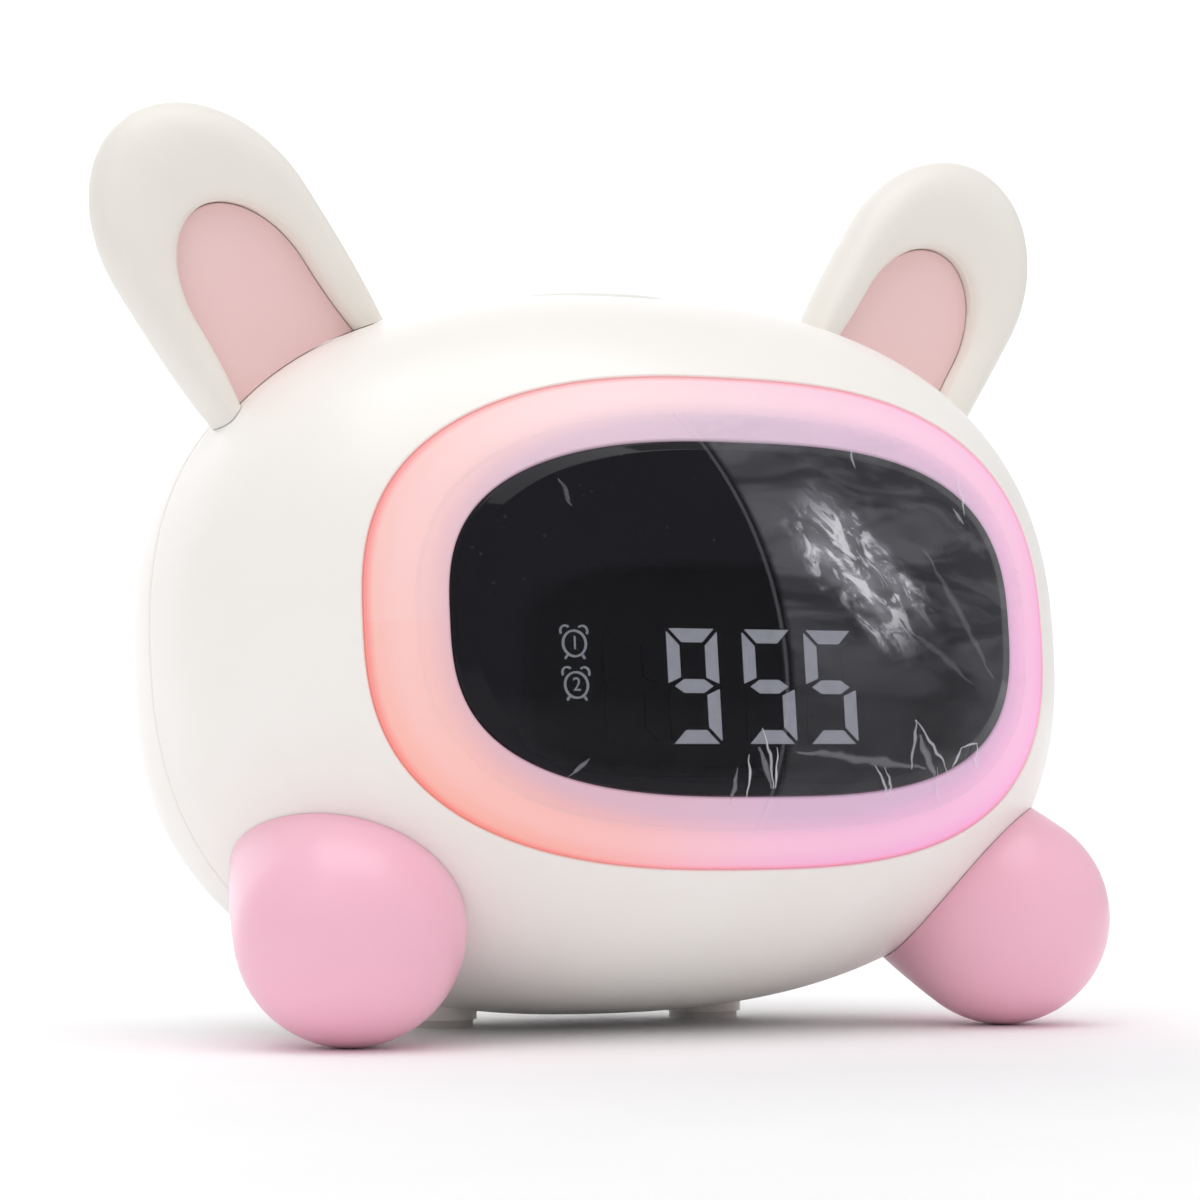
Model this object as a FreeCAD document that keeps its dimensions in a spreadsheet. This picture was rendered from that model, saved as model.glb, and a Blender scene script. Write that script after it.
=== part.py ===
import FreeCAD, Part
import Sketcher
import math
import os
from FreeCAD import Placement, Rotation, Vector

# Rabbit-eared bedside alarm clock: an ovoid case in two shells, a glowing ring round a dark
# window with a segment display, two ears, two feet, one button on top and four behind.
# The case is drawn upright about its own centre, front towards -Y. At the end everything
# leans back by leanAngle and stands on its feet, with the ground at Z = 0.

doc = FreeCAD.newDocument("AlarmClock")
sheet = doc.addObject("Spreadsheet::Sheet", "Sizes")

drivingSizes = {
    "leanAngle": 6.25,
    "caseHalfWidth": 75.0,
    "caseHalfHeight": 56.26,
    "caseFrontDepth": 53.49,
    "caseRearDepth": 50.94,
    "caseOutlinePower": 2.432,
    "caseProfilePower": 2.437,
    "shellWall": 2.2,
    "seamPlace": 3.75,
    "seamGap": 0.2,
    "looseGap": 0.15,
    "slideGap": 0.1,
    "ringHalfWidth": 59.0,
    "ringHalfHeight": 37.18,
    "ringPower": 2.667,
    "ringCentre": -0.4,
    "ringWall": 1.6,
    "lensHalfWidth": 48.2,
    "lensHalfHeight": 26.56,
    "lensPower": 2.854,
    "lensCentre": -0.61,
    "lensProud": 1.0,
    "lensThickness": 2.0,
    "lensWall": 1.6,
    "filmGap": 0.1,
    "filmThickness": 0.15,
    "displayPlane": -42.0,
    "lensSeat": -34.0,
    "displayInset": 1.1,
    "digitWidth": 8.6,
    "digitHeight": 17.3,
    "digitPitch": 10.84,
    "hourGap": 13.04,
    "displayCentre": -0.3,
    "digitCentreHeight": -9.84,
    "segmentWidth": 1.9,
    "segmentSpacing": 0.35,
    "segmentRise": 0.25,
    "iconPlace": -26.7,
    "iconUpper": -3.67,
    "iconLower": -9.83,
    "iconRadius": 2.0,
    "iconLine": 0.35,
    "lightBoardSeat": -26.0,
    "lightBoardHalfWidth": 65.0,
    "lightBoardHalfHeight": 46.5,
    "boardThickness": 1.6,
    "ledSide": 3.0,
    "ledRise": 0.8,
    "ledCount": 16,
    "lightScrewAcross": 47.5,
    "lightScrewUp": 33.2,
    "postRadius": 2.8,
    "shellScrewAcross": 64.0,
    "shellScrewUp": 14.0,
    "shellPostRadius": 4.2,
    "shellScrewSeat": 14.0,
    "shellScrewLength": 20.0,
    "shellScrewRadius": 1.45,
    "shellHeadRadius": 2.8,
    "shellHeadHeight": 2.0,
    "boardScrewRadius": 0.95,
    "boardScrewLength": 6.0,
    "boardHeadRadius": 2.1,
    "boardHeadHeight": 1.4,
    "threadGap": 0.05,
    "earBaseAcross": 48.0,
    "earBaseBack": 2.2,
    "earBaseUp": 37.35,
    "earSpread": 32.2,
    "earLeanBack": 3.5,
    "earLength": 53.7,
    "earHalfWidth": 17.45,
    "earShoulder": 31.6,
    "earRootHalfWidth": 14.5,
    "earRootPower": 3.4,
    "earBend": 1.4,
    "earHalfThickness": 5.4,
    "earEdgePower": 2.8,
    "panelLength": 36.3,
    "panelHalfWidth": 10.5,
    "panelShoulder": 21.0,
    "panelRootHalfWidth": 13.2,
    "panelDepth": 2.4,
    "panelThickness": 1.0,
    "limbGap": 0.12,
    "pegRadius": 3.0,
    "earPegBack": 1.3,
    "earPegLength": 14.0,
    "pegEndGap": 0.3,
    "pegSleeve": 6.0,
    "limbScrewLength": 11.0,
    "limbScrewRadius": 1.45,
    "limbHeadRadius": 5.5,
    "limbHeadHeight": 1.5,
    "footAcross": 57.0,
    "footForward": -29.5,
    "footBelow": 41.1,
    "footRadius": 17.08,
    "footTail": 52.0,
    "footPegSeat": 16.0,
    "footPegLength": 18.0,
    "padAcross": 24.0,
    "padBack": 8.5,
    "padRadius": 5.5,
    "padThickness": 1.2,
    "studHeight": 5.0,
    "buttonRadius": 18.5,
    "buttonProud": 0.7,
    "buttonSeat": 49.0,
    "buttonTravel": 1.0,
    "flangeWidth": 3.0,
    "flangeThickness": 1.5,
    "buttonWall": 2.0,
    "buttonHollowRise": 3.0,
    "hubRadius": 4.0,
    "restGap": 0.05,
    "stemGap": 0.6,
    "plungerGap": 0.4,
    "plungerRadius": 1.2,
    "switchSide": 6.0,
    "switchHeight": 4.0,
    "switchFloor": 1.0,
    "topBoardFace": 40.0,
    "topBoardWidth": 64.0,
    "topBoardDepth": 24.0,
    "topBoardCentre": 12.0,
    "topPostAcross": 27.0,
    "mainBoardFace": 35.6,
    "mainBoardWidth": 80.0,
    "mainBoardHeight": 34.0,
    "mainBoardCentre": 12.0,
    "mainScrewAcross": 35.5,
    "mainScrewSpread": 26.0,
    "keyRadius": 4.5,
    "keyPitch": 18.0,
    "keyUp": 14.0,
    "keyCount": 4,
    "keyProud": 1.2,
    "keySeat": 44.4,
    "keyTravel": 0.8,
    "keyFlangeWidth": 1.4,
    "keyFlangeThickness": 1.3,
    "socketWidth": 9.0,
    "socketHeight": 3.2,
    "socketLength": 13.4,
    "socketUp": -1.0,
    "speakerUp": -25.0,
    "speakerRadius": 12.0,
    "speakerSeat": 38.5,
    "speakerSleeve": 3.0,
    "grilleHoleRadius": 0.9,
    "grilleStep": 3.2,
    "cellRadius": 9.2,
    "cellLength": 65.0,
    "cellUp": -20.0,
    "holderWall": 2.0,
    "holderHeight": 20.0,
}

for row, (name, amount) in enumerate(drivingSizes.items(), start=1):
    sheet.set("A%d" % row, name)
    sheet.set("B%d" % row, str(amount))
    sheet.setAlias("B%d" % row, name)
doc.recompute()


class Amount:
    """A length that knows both its number and the sheet formula behind it."""

    def __init__(self, number, formula):
        self.number = number
        self.formula = formula

    def __add__(self, other):
        other = amountOf(other)
        return Amount(self.number + other.number, "(%s + %s)" % (self.formula, other.formula))

    def __sub__(self, other):
        other = amountOf(other)
        return Amount(self.number - other.number, "(%s - %s)" % (self.formula, other.formula))

    def __mul__(self, other):
        other = amountOf(other)
        return Amount(self.number * other.number, "(%s * %s)" % (self.formula, other.formula))

    def __truediv__(self, other):
        other = amountOf(other)
        return Amount(self.number / other.number, "(%s / %s)" % (self.formula, other.formula))

    def __radd__(self, other):
        return amountOf(other) + self

    def __rsub__(self, other):
        return amountOf(other) - self

    def __rmul__(self, other):
        return amountOf(other) * self

    def __neg__(self):
        return Amount(-self.number, "(0 - %s)" % self.formula)


def amountOf(thing):
    if isinstance(thing, Amount):
        return thing
    return Amount(float(thing), "(%.6f)" % thing)


def size(name):
    return Amount(float(sheet.get(name)), "Sizes." + name)


def number(name):
    return float(sheet.get(name))


def bind(thing, **amounts):
    for name, amount in amounts.items():
        thing.setExpression(name, amountOf(amount).formula)


def settle(thing, at, rotation=Rotation()):
    spots = [amountOf(spot) for spot in at]
    thing.Placement = Placement(Vector(*[spot.number for spot in spots]), rotation)
    for axis, spot in zip("xyz", spots):
        thing.setExpression("Placement.Base." + axis, spot.formula)
    return thing


alongTurn = {
    "x": Rotation(Vector(0, 1, 0), 90),
    "y": Rotation(Vector(1, 0, 0), -90),
    "z": Rotation(),
}


def cylinder(name, radius, length, at, along="z"):
    thing = doc.addObject("Part::Cylinder", name)
    bind(thing, Radius=radius, Height=length)
    return settle(thing, at, alongTurn[along])


def cylinderPlaced(name, radius, length, placement):
    thing = doc.addObject("Part::Cylinder", name)
    bind(thing, Radius=radius, Height=length)
    thing.Placement = placement
    return thing


def box(name, width, depth, height, at):
    """A box centred on at in X and Z, from at backwards along Y."""
    thing = doc.addObject("Part::Box", name)
    bind(thing, Length=width, Width=depth, Height=height)
    return settle(thing, (at[0] - amountOf(width) / 2, at[1], at[2] - amountOf(height) / 2))


def cut(name, base, tool):
    thing = doc.addObject("Part::Cut", name)
    thing.Base = base
    thing.Tool = tool
    return thing


def fuse(name, shapes):
    thing = doc.addObject("Part::MultiFuse", name)
    thing.Shapes = shapes
    return thing


def common(name, shapes):
    thing = doc.addObject("Part::MultiCommon", name)
    thing.Shapes = shapes
    return thing


def group(name, shapes):
    thing = doc.addObject("Part::Compound", name)
    thing.Links = shapes
    return thing


def formed(name, shape, placement=Placement()):
    thing = doc.addObject("Part::Feature", name)
    thing.Shape = shape
    thing.Placement = placement
    return thing


# Formed shapes: a rounded outline, and a pebble that swells from it

def roundedOutline(halfWidth, halfHeight, power, firstAngle=0, count=24):
    points = []
    for step in range(count):
        angle = firstAngle + 2 * math.pi * step / count
        across, up = math.cos(angle), math.sin(angle)
        reach = (abs(across) ** power + abs(up) ** power) ** (-1 / power)
        points.append(Vector(halfWidth * reach * across, 0, halfHeight * reach * up))
    return points


def closedCurve(points):
    curve = Part.BSplineCurve()
    curve.interpolate(Points=points, PeriodicFlag=True)
    return curve


def pebble(outline, frontDepth, rearDepth, power, count=14):
    """A solid whose every level is the outline, shrunk along a rounded profile in Y."""
    rim = closedCurve(outline)
    stops = []
    for step in range(count + 1):
        angle = math.pi * step / count
        out, along = math.sin(angle), math.cos(angle)
        reach = (abs(out) ** power + abs(along) ** power) ** (-1 / power)
        depth = frontDepth if along > 0 else rearDepth
        stops.append(Vector(out * reach * frontDepth, -along * reach * depth, 0))
    stops[0].x = 0
    stops[-1].x = 0
    profile = Part.BSplineCurve()
    profile.interpolate(Points=stops, InitialTangent=Vector(1, 0, 0), FinalTangent=Vector(-1, 0, 0))
    stretch = profile.getPoles()
    stretch[0].x = 0
    stretch[-1].x = 0
    poles = []
    for pole in rim.getPoles():
        shares = [(stop.x / frontDepth, stop.y) for stop in stretch]
        poles.append([Vector(pole.x * share, depth, pole.z * share) for share, depth in shares])
    skin = Part.BSplineSurface()
    skin.buildFromPolesMultsKnots(
        poles, rim.getMultiplicities(), profile.getMultiplicities(), rim.getKnots(),
        profile.getKnots(), True, False, rim.Degree, profile.Degree)
    solid = Part.Solid(Part.Shell([skin.toShape()]))
    if solid.Volume < 0:
        solid.reverse()
    return solid


def caseForm(name, growth):
    """The case's ovoid, grown or shrunk by the same amount all round."""
    outline = roundedOutline(number("caseHalfWidth") + growth, number("caseHalfHeight") + growth,
                             number("caseOutlinePower"), math.pi / 4)
    return formed(name, pebble(outline, number("caseFrontDepth") + growth,
                               number("caseRearDepth") + growth, number("caseProfilePower")))


def prism(name, halfWidth, halfHeight, power, centre, start, end):
    """A prism along Y, from start to end, with a rounded outline."""
    points = roundedOutline(halfWidth, halfHeight, power)
    wire = formed(name + "Outline", Part.Wire(closedCurve(points).toShape()))
    settle(wire, (0, start, centre))
    thing = doc.addObject("Part::Extrusion", name)
    thing.Base = wire
    thing.Dir = Vector(0, 1, 0)
    thing.Solid = True
    bind(thing, LengthFwd=end - start)
    return thing


def window(name, outline, growth, start, end):
    """A prism with the outline of the ring or the lens, grown or shrunk all round."""
    return prism(name, number(outline + "HalfWidth") + growth,
                 number(outline + "HalfHeight") + growth, number(outline + "Power"),
                 size(outline + "Centre"), start, end)


def revolved(name, corners):
    """A PartDesign body turned about its Z axis from a profile of (radius, height) corners."""
    body = doc.addObject("PartDesign::Body", name)
    sketch = body.newObject("Sketcher::SketchObject", name + "Profile")
    plane = [f for f in body.Origin.OriginFeatures if f.Role == "XZ_Plane"][0]
    sketch.AttachmentSupport = [(plane, "")]
    sketch.MapMode = "FlatFace"
    spots = [(amountOf(out), amountOf(up)) for out, up in corners]
    count = len(spots)
    for index in range(count):
        here, there = spots[index], spots[(index + 1) % count]
        sketch.addGeometry(Part.LineSegment(Vector(here[0].number, here[1].number, 0),
                                            Vector(there[0].number, there[1].number, 0)))
    for index in range(count):
        sketch.addConstraint(Sketcher.Constraint("Coincident", index, 2, (index + 1) % count, 1))
    for index, (out, up) in enumerate(spots):
        across = sketch.addConstraint(Sketcher.Constraint("DistanceX", -1, 1, index, 1, out.number))
        sketch.setExpression("Constraints[%d]" % across, out.formula)
        rise = sketch.addConstraint(Sketcher.Constraint("DistanceY", -1, 1, index, 1, up.number))
        sketch.setExpression("Constraints[%d]" % rise, up.formula)
    turn = body.newObject("PartDesign::Revolution", name + "Turn")
    turn.Profile = sketch
    turn.ReferenceAxis = (sketch, ["V_Axis"])
    turn.Angle = 360
    body.Tip = turn
    return body


leanBack = Placement(Vector(), Rotation(Vector(1, 0, 0), -number("leanAngle")))
upright = leanBack.inverse()
groundLevel = -(number("footBelow") + number("footRadius"))
pieces = {}
seatPlane = size("lightBoardSeat")
farFront = -(size("caseFrontDepth") + 20)
frontSeam = size("seamPlace") - size("seamGap") / 2
rearSeam = size("seamPlace") + size("seamGap") / 2
wholeWidth = size("caseHalfWidth") * 2 + 20
wholeHeight = size("caseHalfHeight") * 2 + 20

outerForm = caseForm("CaseOuter", 0)
innerForm = caseForm("CaseInner", -number("shellWall"))
limbForm = caseForm("CaseLimbClearance", number("limbGap"))
frontHalf = box("FrontHalf", wholeWidth, frontSeam - farFront, wholeHeight, (0, farFront, 0))
rearHalf = box("RearHalf", wholeWidth, size("caseRearDepth") + 20, wholeHeight, (0, rearSeam, 0))
caseWall = cut("CaseWall", outerForm, innerForm)


# Limbs: each ear and foot has a peg in a sleeve of the case and a broad-headed screw

def limbFrame(side, across, back, up, rotation):
    """A limb's own frame in the case's frame, from its place on the standing clock."""
    return upright.multiply(Placement(Vector(side * across, back, up), rotation))


def earFrame(side):
    spread = Rotation(Vector(0, 1, 0), side * number("earSpread"))
    lean = Rotation(Vector(1, 0, 0), -number("earLeanBack"))
    return limbFrame(side, number("earBaseAcross"), number("earBaseBack"), number("earBaseUp"),
                     spread.multiply(lean))


footAxis = Vector(-0.25, 0.8, 0.45)


def footFrame(side):
    direction = Vector(side * footAxis.x, footAxis.y, footAxis.z)
    return limbFrame(side, number("footAcross"), number("footForward"), -number("footBelow"),
                     Rotation(Vector(0, 0, 1), direction))


sideNames = {-1: "left", 1: "right"}


def pegTools(kind, side):
    """Sleeve, sleeve bore, peg, screw bore and screw of one limb, along its own Z axis."""
    frame = earFrame(side) if kind == "ear" else footFrame(side)
    span = number(kind + "PegLength")
    if kind == "ear":
        frame = frame.multiply(Placement(Vector(0, number("earPegBack"), 0), Rotation()))
        inward, end = 1, 0.0
    else:
        inward, end = -1, number("footPegSeat")
    name = sideNames[side].capitalize() + kind.capitalize()

    def along(start, length):
        low = start if inward > 0 else start - length
        return frame.multiply(Placement(Vector(0, 0, low), Rotation()))

    sleeve = cylinderPlaced(name + "Sleeve", size("pegSleeve"), span - 2, along(end, span - 2))
    bore = cylinderPlaced(name + "SleeveBore", size("pegRadius") + size("slideGap"), span,
                          along(end - inward, span))
    peg = cylinderPlaced(name + "Peg", size("pegRadius"), span, along(end + number("pegEndGap") * inward, span))
    pilot = cylinderPlaced(name + "Pilot", size("limbScrewRadius") + size("threadGap"),
                           size("limbScrewLength") + 1, along(end, number("limbScrewLength") + 1))
    shank = cylinderPlaced(name + "Shank", size("limbScrewRadius"), size("limbScrewLength"),
                           along(end, number("limbScrewLength")))
    head = cylinderPlaced(name + "Head", size("limbHeadRadius"), size("limbHeadHeight"),
                          along(end - inward * number("limbHeadHeight"), number("limbHeadHeight")))
    screw = fuse(name + "Screw", [head, shank])
    return sleeve, bore, peg, pilot, screw


limbs = {(kind, side): pegTools(kind, side) for kind in ("ear", "foot") for side in (-1, 1)}


# Ears: a flat pebble with a recessed panel, cut off at the case

def earOutline(side, length, halfWidth, shoulder, rootHalfWidth, rootPower, tail):
    """Half-widths up one side of an ear, round its tip and down the other side."""
    half = []
    for share in (0, 0.25, 0.5, 0.75):
        fall = (1 - share) ** rootPower
        half.append((halfWidth - (halfWidth - rootHalfWidth) * fall, share * shoulder))
    for degrees in (0, 18, 36, 54, 70, 82):
        angle = math.radians(degrees)
        half.append((halfWidth * math.cos(angle), shoulder + (length - shoulder) * math.sin(angle)))
    low = [(rootHalfWidth * 0.72, -tail * 0.7)]
    path = [(0, -tail)] + low + half + [(0, length)]
    path += [(-out, up) for out, up in reversed(low + half)]
    bend = number("earBend") / number("earLength") ** 2
    return [Vector(side * (out + bend * up * up), 0, up) for out, up in path]


def makeEar(side):
    name = sideNames[side]
    frame = earFrame(side)
    outline = earOutline(side, number("earLength"), number("earHalfWidth"), number("earShoulder"),
                         number("earRootHalfWidth"), number("earRootPower"), 14)
    middle = Vector(0, 0, number("earLength") * 0.42)
    blank = pebble([point - middle for point in outline], number("earHalfThickness"),
                   number("earHalfThickness"), number("earEdgePower"))
    blank = formed(name + "EarBlank", blank, frame.multiply(Placement(middle, Rotation())))
    panelShape = [number("panelLength"), number("panelHalfWidth"), number("panelShoulder"),
                  number("panelRootHalfWidth"), 2.1, 14]
    panelFront = -number("earHalfThickness") + number("panelDepth")

    def slab(label, growth, start, end):
        shape = list(panelShape)
        shape[0] += growth
        shape[1] += growth
        shape[3] += growth
        face = Part.Face(Part.Wire(closedCurve(earOutline(side, *shape)).toShape()))
        face.translate(Vector(0, start, 0))
        return formed(label, face.extrude(Vector(0, end - start, 0)), frame)

    pocket = slab(name + "EarPocket", number("looseGap"), -12, panelFront + number("panelThickness"))
    plate = slab(name + "EarPlate", 0, panelFront, panelFront + number("panelThickness"))
    sleeve, bore, peg, pilot, screw = limbs["ear", side]
    hollow = cut(name + "EarHollow", blank, pocket)
    trimmed = cut(name + "EarTrimmed", hollow, limbForm)
    joined = fuse(name + "EarJoined", [trimmed, peg])
    pieces[name + "_ear"] = cut(name + "EarBored", joined, pilot)
    panel = cut(name + "PanelTrimmed", plate, limbForm)
    pieces[name + "_ear_panel"] = cut(name + "PanelClear", panel, pieces[name + "_ear"])


for side in (-1, 1):
    makeEar(side)


# Feet: an egg whose narrow end runs into the case

def makeFoot(side):
    name = sideNames[side]
    radius = number("footRadius")
    egg = pebble(roundedOutline(radius, radius, 2), radius, number("footTail"), 2)
    turned = Placement(Vector(), Rotation(Vector(1, 0, 0), 90))
    blank = formed(name + "FootBlank", egg, footFrame(side).multiply(turned))
    sleeve, bore, peg, pilot, screw = limbs["foot", side]
    trimmed = cut(name + "FootTrimmed", blank, limbForm)
    joined = fuse(name + "FootJoined", [trimmed, peg])
    pieces[name + "_foot"] = cut(name + "FootBored", joined, pilot)


for side in (-1, 1):
    makeFoot(side)


# Glowing ring: a channel that faces back to the light board
lensHole = window("LensHole", "lens", number("looseGap"), farFront, seatPlane)
ringBlock = window("RingBlock", "ring", 0, farFront, seatPlane)
ringSolid = cut("RingSolid", common("RingCrown", [ringBlock, outerForm]), lensHole)
channelOuter = window("ChannelOuter", "ring", -number("ringWall"), farFront, seatPlane)
channelInner = window("ChannelInner", "lens", number("looseGap") + number("ringWall"),
                      farFront, seatPlane)
channel = cut("Channel", common("ChannelCrown", [channelOuter, innerForm]), channelInner)
pieces["light_ring"] = cut("LightRing", ringSolid, channel)

# Dark window with its skirt, and the clear sheet over it
lensSeat = size("lensSeat")
lensOuter = caseForm("LensOuter", number("lensProud"))
lensInner = caseForm("LensInner", number("lensProud") - number("lensThickness"))
lensBlock = window("LensBlock", "lens", 0, farFront, lensSeat)
lensHollow = window("LensHollow", "lens", -number("lensWall"), farFront, lensSeat)
pieces["display_lens"] = cut("DisplayLens", common("LensCrown", [lensBlock, lensOuter]),
                             common("LensHollowCrown", [lensHollow, lensInner]))
filmLow = number("lensProud") + number("filmGap")
filmBlock = window("FilmBlock", "lens", -2.5, farFront, lensSeat)
filmSkin = cut("FilmSkin", caseForm("FilmOuter", filmLow + number("filmThickness")),
               caseForm("FilmInner", filmLow))
pieces["lens_film"] = common("LensFilm", [filmBlock, filmSkin])

# Display carrier with segments and alarm signs on its face
displayPlane = size("displayPlane")
carrierTop = window("CarrierTop", "lens", -number("lensWall") - number("displayInset"),
                    displayPlane, lensSeat)
carrierFoot = window("CarrierFoot", "lens", -number("looseGap"), lensSeat, seatPlane)
pieces["display_carrier"] = fuse("DisplayCarrier", [carrierTop, carrierFoot])


def plate(name, points):
    """A thin plate on the display's face from a ring of (across, up) corners."""
    wire = Part.makePolygon([Vector(x, 0, z) for x, z in points + points[:1]])
    thing = doc.addObject("Part::Extrusion", name)
    thing.Base = formed(name + "Outline", wire)
    settle(thing.Base, (0, displayPlane - size("segmentRise"), 0))
    thing.Dir = Vector(0, 1, 0)
    thing.Solid = True
    bind(thing, LengthFwd=size("segmentRise"))
    return thing


def segmentCorners(start, end, half):
    """A pointed bar from start to end, with 45 degree tips."""
    run = Vector(end[0] - start[0], end[1] - start[1], 0)
    unit = Vector(run).normalize()
    across = Vector(-unit.y, unit.x, 0)
    first, last = Vector(start[0], start[1], 0), Vector(end[0], end[1], 0)
    corners = [first, first + (unit + across) * half, last + (across - unit) * half,
               last, last - (unit + across) * half, first + (unit - across) * half]
    return [(corner.x, corner.y) for corner in corners]


def digitSegments(name, centre, lit):
    half = number("segmentWidth") / 2
    wide = number("digitWidth") / 2 - half
    high = number("digitHeight") / 2 - half
    gap = number("segmentSpacing")
    middle = number("digitCentreHeight")
    spots = {"a": ((-wide, high), (wide, high)), "b": ((wide, high), (wide, 0)),
             "c": ((wide, 0), (wide, -high)), "d": ((-wide, -high), (wide, -high)),
             "e": ((-wide, 0), (-wide, -high)), "f": ((-wide, high), (-wide, 0)),
             "g": ((-wide, 0), (wide, 0))}
    bars = {True: [], False: []}
    for letter, ((x1, z1), (x2, z2)) in spots.items():
        trimX = gap if x1 != x2 else 0
        trimZ = gap if z1 != z2 else 0
        corners = segmentCorners((centre + x1 + trimX, middle + z1 - trimZ),
                                 (centre + x2 - trimX, middle + z2 + trimZ), half)
        bars[letter in lit].append(plate("%s%s" % (name, letter.upper()), corners))
    return bars


inner = number("hourGap") / 2
outer = inner + number("digitPitch")
litBars, darkBars = [], []
digitPlaces = (("DigitOne", -outer, ""), ("DigitTwo", -inner, "abcdfg"),
               ("DigitThree", inner, "acdfg"), ("DigitFour", outer, "acdfg"))
for name, place, lit in digitPlaces:
    bars = digitSegments(name, number("displayCentre") + place, lit)
    litBars += bars[True]
    darkBars += bars[False]
pieces["lit_segments"] = group("LitSegments", litBars)
pieces["dark_segments"] = group("DarkSegments", darkBars)


def alarmSign(name, height):
    """A small clock outline: a round rim, two bells above it and two legs below."""
    place = size("iconPlace")
    front = displayPlane - size("segmentRise")
    rimOuter = cylinder(name + "RimOuter", size("iconRadius"), size("segmentRise"),
                        (place, front, height), "y")
    rimInner = cylinder(name + "RimInner", size("iconRadius") - size("iconLine"),
                        size("segmentRise"), (place, front, height), "y")
    parts = [cut(name + "Rim", rimOuter, rimInner)]
    reach = number("iconRadius")
    line = number("iconLine")
    middleX, middleZ = place.number, height.number
    for turn in (128, 52):
        angle = math.radians(turn)
        side = Vector(math.cos(angle), math.sin(angle), 0)
        flat = Vector(-side.y, side.x, 0)
        near = side * (reach + line)
        far = side * (reach + 2 * line)
        corners = [near + flat * 0.75, far + flat * 0.45, far - flat * 0.45, near - flat * 0.75]
        parts.append(plate("%sBell%d" % (name, turn),
                           [(middleX + c.x, middleZ + c.y) for c in corners]))
    for turn in (232, 308):
        angle = math.radians(turn)
        side = Vector(math.cos(angle), math.sin(angle), 0)
        flat = Vector(-side.y, side.x, 0) * (line / 2)
        near = side * (reach + 0.1)
        far = side * (reach + 0.8)
        parts.append(plate("%sLeg%d" % (name, turn),
                           [(middleX + c.x, middleZ + c.y)
                            for c in (near + flat, far + flat, far - flat, near - flat)]))
    return parts


pieces["alarm_signs"] = group("AlarmSigns", alarmSign("UpperSign", size("iconUpper"))
                              + alarmSign("LowerSign", size("iconLower")))


# Screws on the boards share one shape; each board gets them in its own direction

boardScrews = []


def boardScrew(name, at, along, direction):
    """A screw whose head rests on a board at at and whose shank runs in direction."""
    step = {"y": (0, 1, 0), "z": (0, 0, 1)}[along]
    headBack = -size("boardHeadHeight") if direction > 0 else amountOf(0)
    shankBack = amountOf(0) if direction > 0 else -size("boardScrewLength")
    head = cylinder(name + "Head", size("boardHeadRadius"), size("boardHeadHeight"),
                    tuple(spot + headBack * move for spot, move in zip(at, step)), along)
    shank = cylinder(name + "Shank", size("boardScrewRadius"), size("boardScrewLength"),
                     tuple(spot + shankBack * move for spot, move in zip(at, step)), along)
    boardScrews.append(fuse(name, [head, shank]))


def screwBore(name, radius, at, along, direction, length):
    back = amountOf(0) if direction > 0 else -amountOf(length)
    step = {"y": (0, 1, 0), "z": (0, 0, 1)}[along]
    return cylinder(name, radius, length,
                    tuple(spot + back * move for spot, move in zip(at, step)), along)


corners = [(sideX, sideZ) for sideX in (-1, 1) for sideZ in (-1, 1)]
threadBore = size("boardScrewRadius") + size("threadGap")
clearBore = size("boardScrewRadius") + size("slideGap")
frontPosts, frontBores, rearPosts, rearBores, shellScrews = [], [], [], [], []

# Light board behind the ring, on four posts of the front shell
boardBack = seatPlane + size("boardThickness")
boardBlock = prism("LightBoardBlock", number("lightBoardHalfWidth"),
                   number("lightBoardHalfHeight"), number("ringPower"), 0, seatPlane, boardBack)
boardTools = []
for sideX, sideZ in corners:
    name = "Light%s%s" % ("LR"[sideX > 0], "BT"[sideZ > 0])
    x, z = size("lightScrewAcross") * sideX, size("lightScrewUp") * sideZ
    frontPosts.append(cylinder(name + "Post", size("postRadius"), seatPlane - farFront,
                               (x, farFront, z), "y"))
    frontBores.append(screwBore(name + "Thread", threadBore, (x, seatPlane, z), "y", -1,
                                size("boardScrewLength")))
    boardTools.append(screwBore(name + "Clear", clearBore, (x, boardBack, z), "y", -1,
                                size("boardThickness")))
    boardScrew(name + "Screw", (x, boardBack, z), "y", -1)
    x, z = size("shellScrewAcross") * sideX, size("shellScrewUp") * sideZ
    boardTools.append(cylinder(name + "Notch", size("shellPostRadius") + 0.4,
                               size("boardThickness"), (x, seatPlane, z), "y"))
pieces["light_board"] = cut("LightBoard", boardBlock, fuse("LightBoardTools", boardTools))

lamps = []
ledWidth = (number("ringHalfWidth") + number("lensHalfWidth")) / 2
ledHeight = (number("ringHalfHeight") + number("lensHalfHeight")) / 2
for index in range(int(number("ledCount"))):
    angle = 2 * math.pi * (index + 0.5) / int(number("ledCount"))
    across, up = math.cos(angle), math.sin(angle)
    reach = (abs(across) ** number("ringPower") + abs(up) ** number("ringPower")) ** (
        -1 / number("ringPower"))
    lamps.append(box("Lamp%d" % index, size("ledSide"), size("ledRise"), size("ledSide"),
                     (amountOf(ledWidth * reach * across), seatPlane - size("ledRise"),
                      ledHeight * reach * up + size("ringCentre"))))
pieces["ring_lamps"] = group("RingLamps", lamps)

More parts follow.
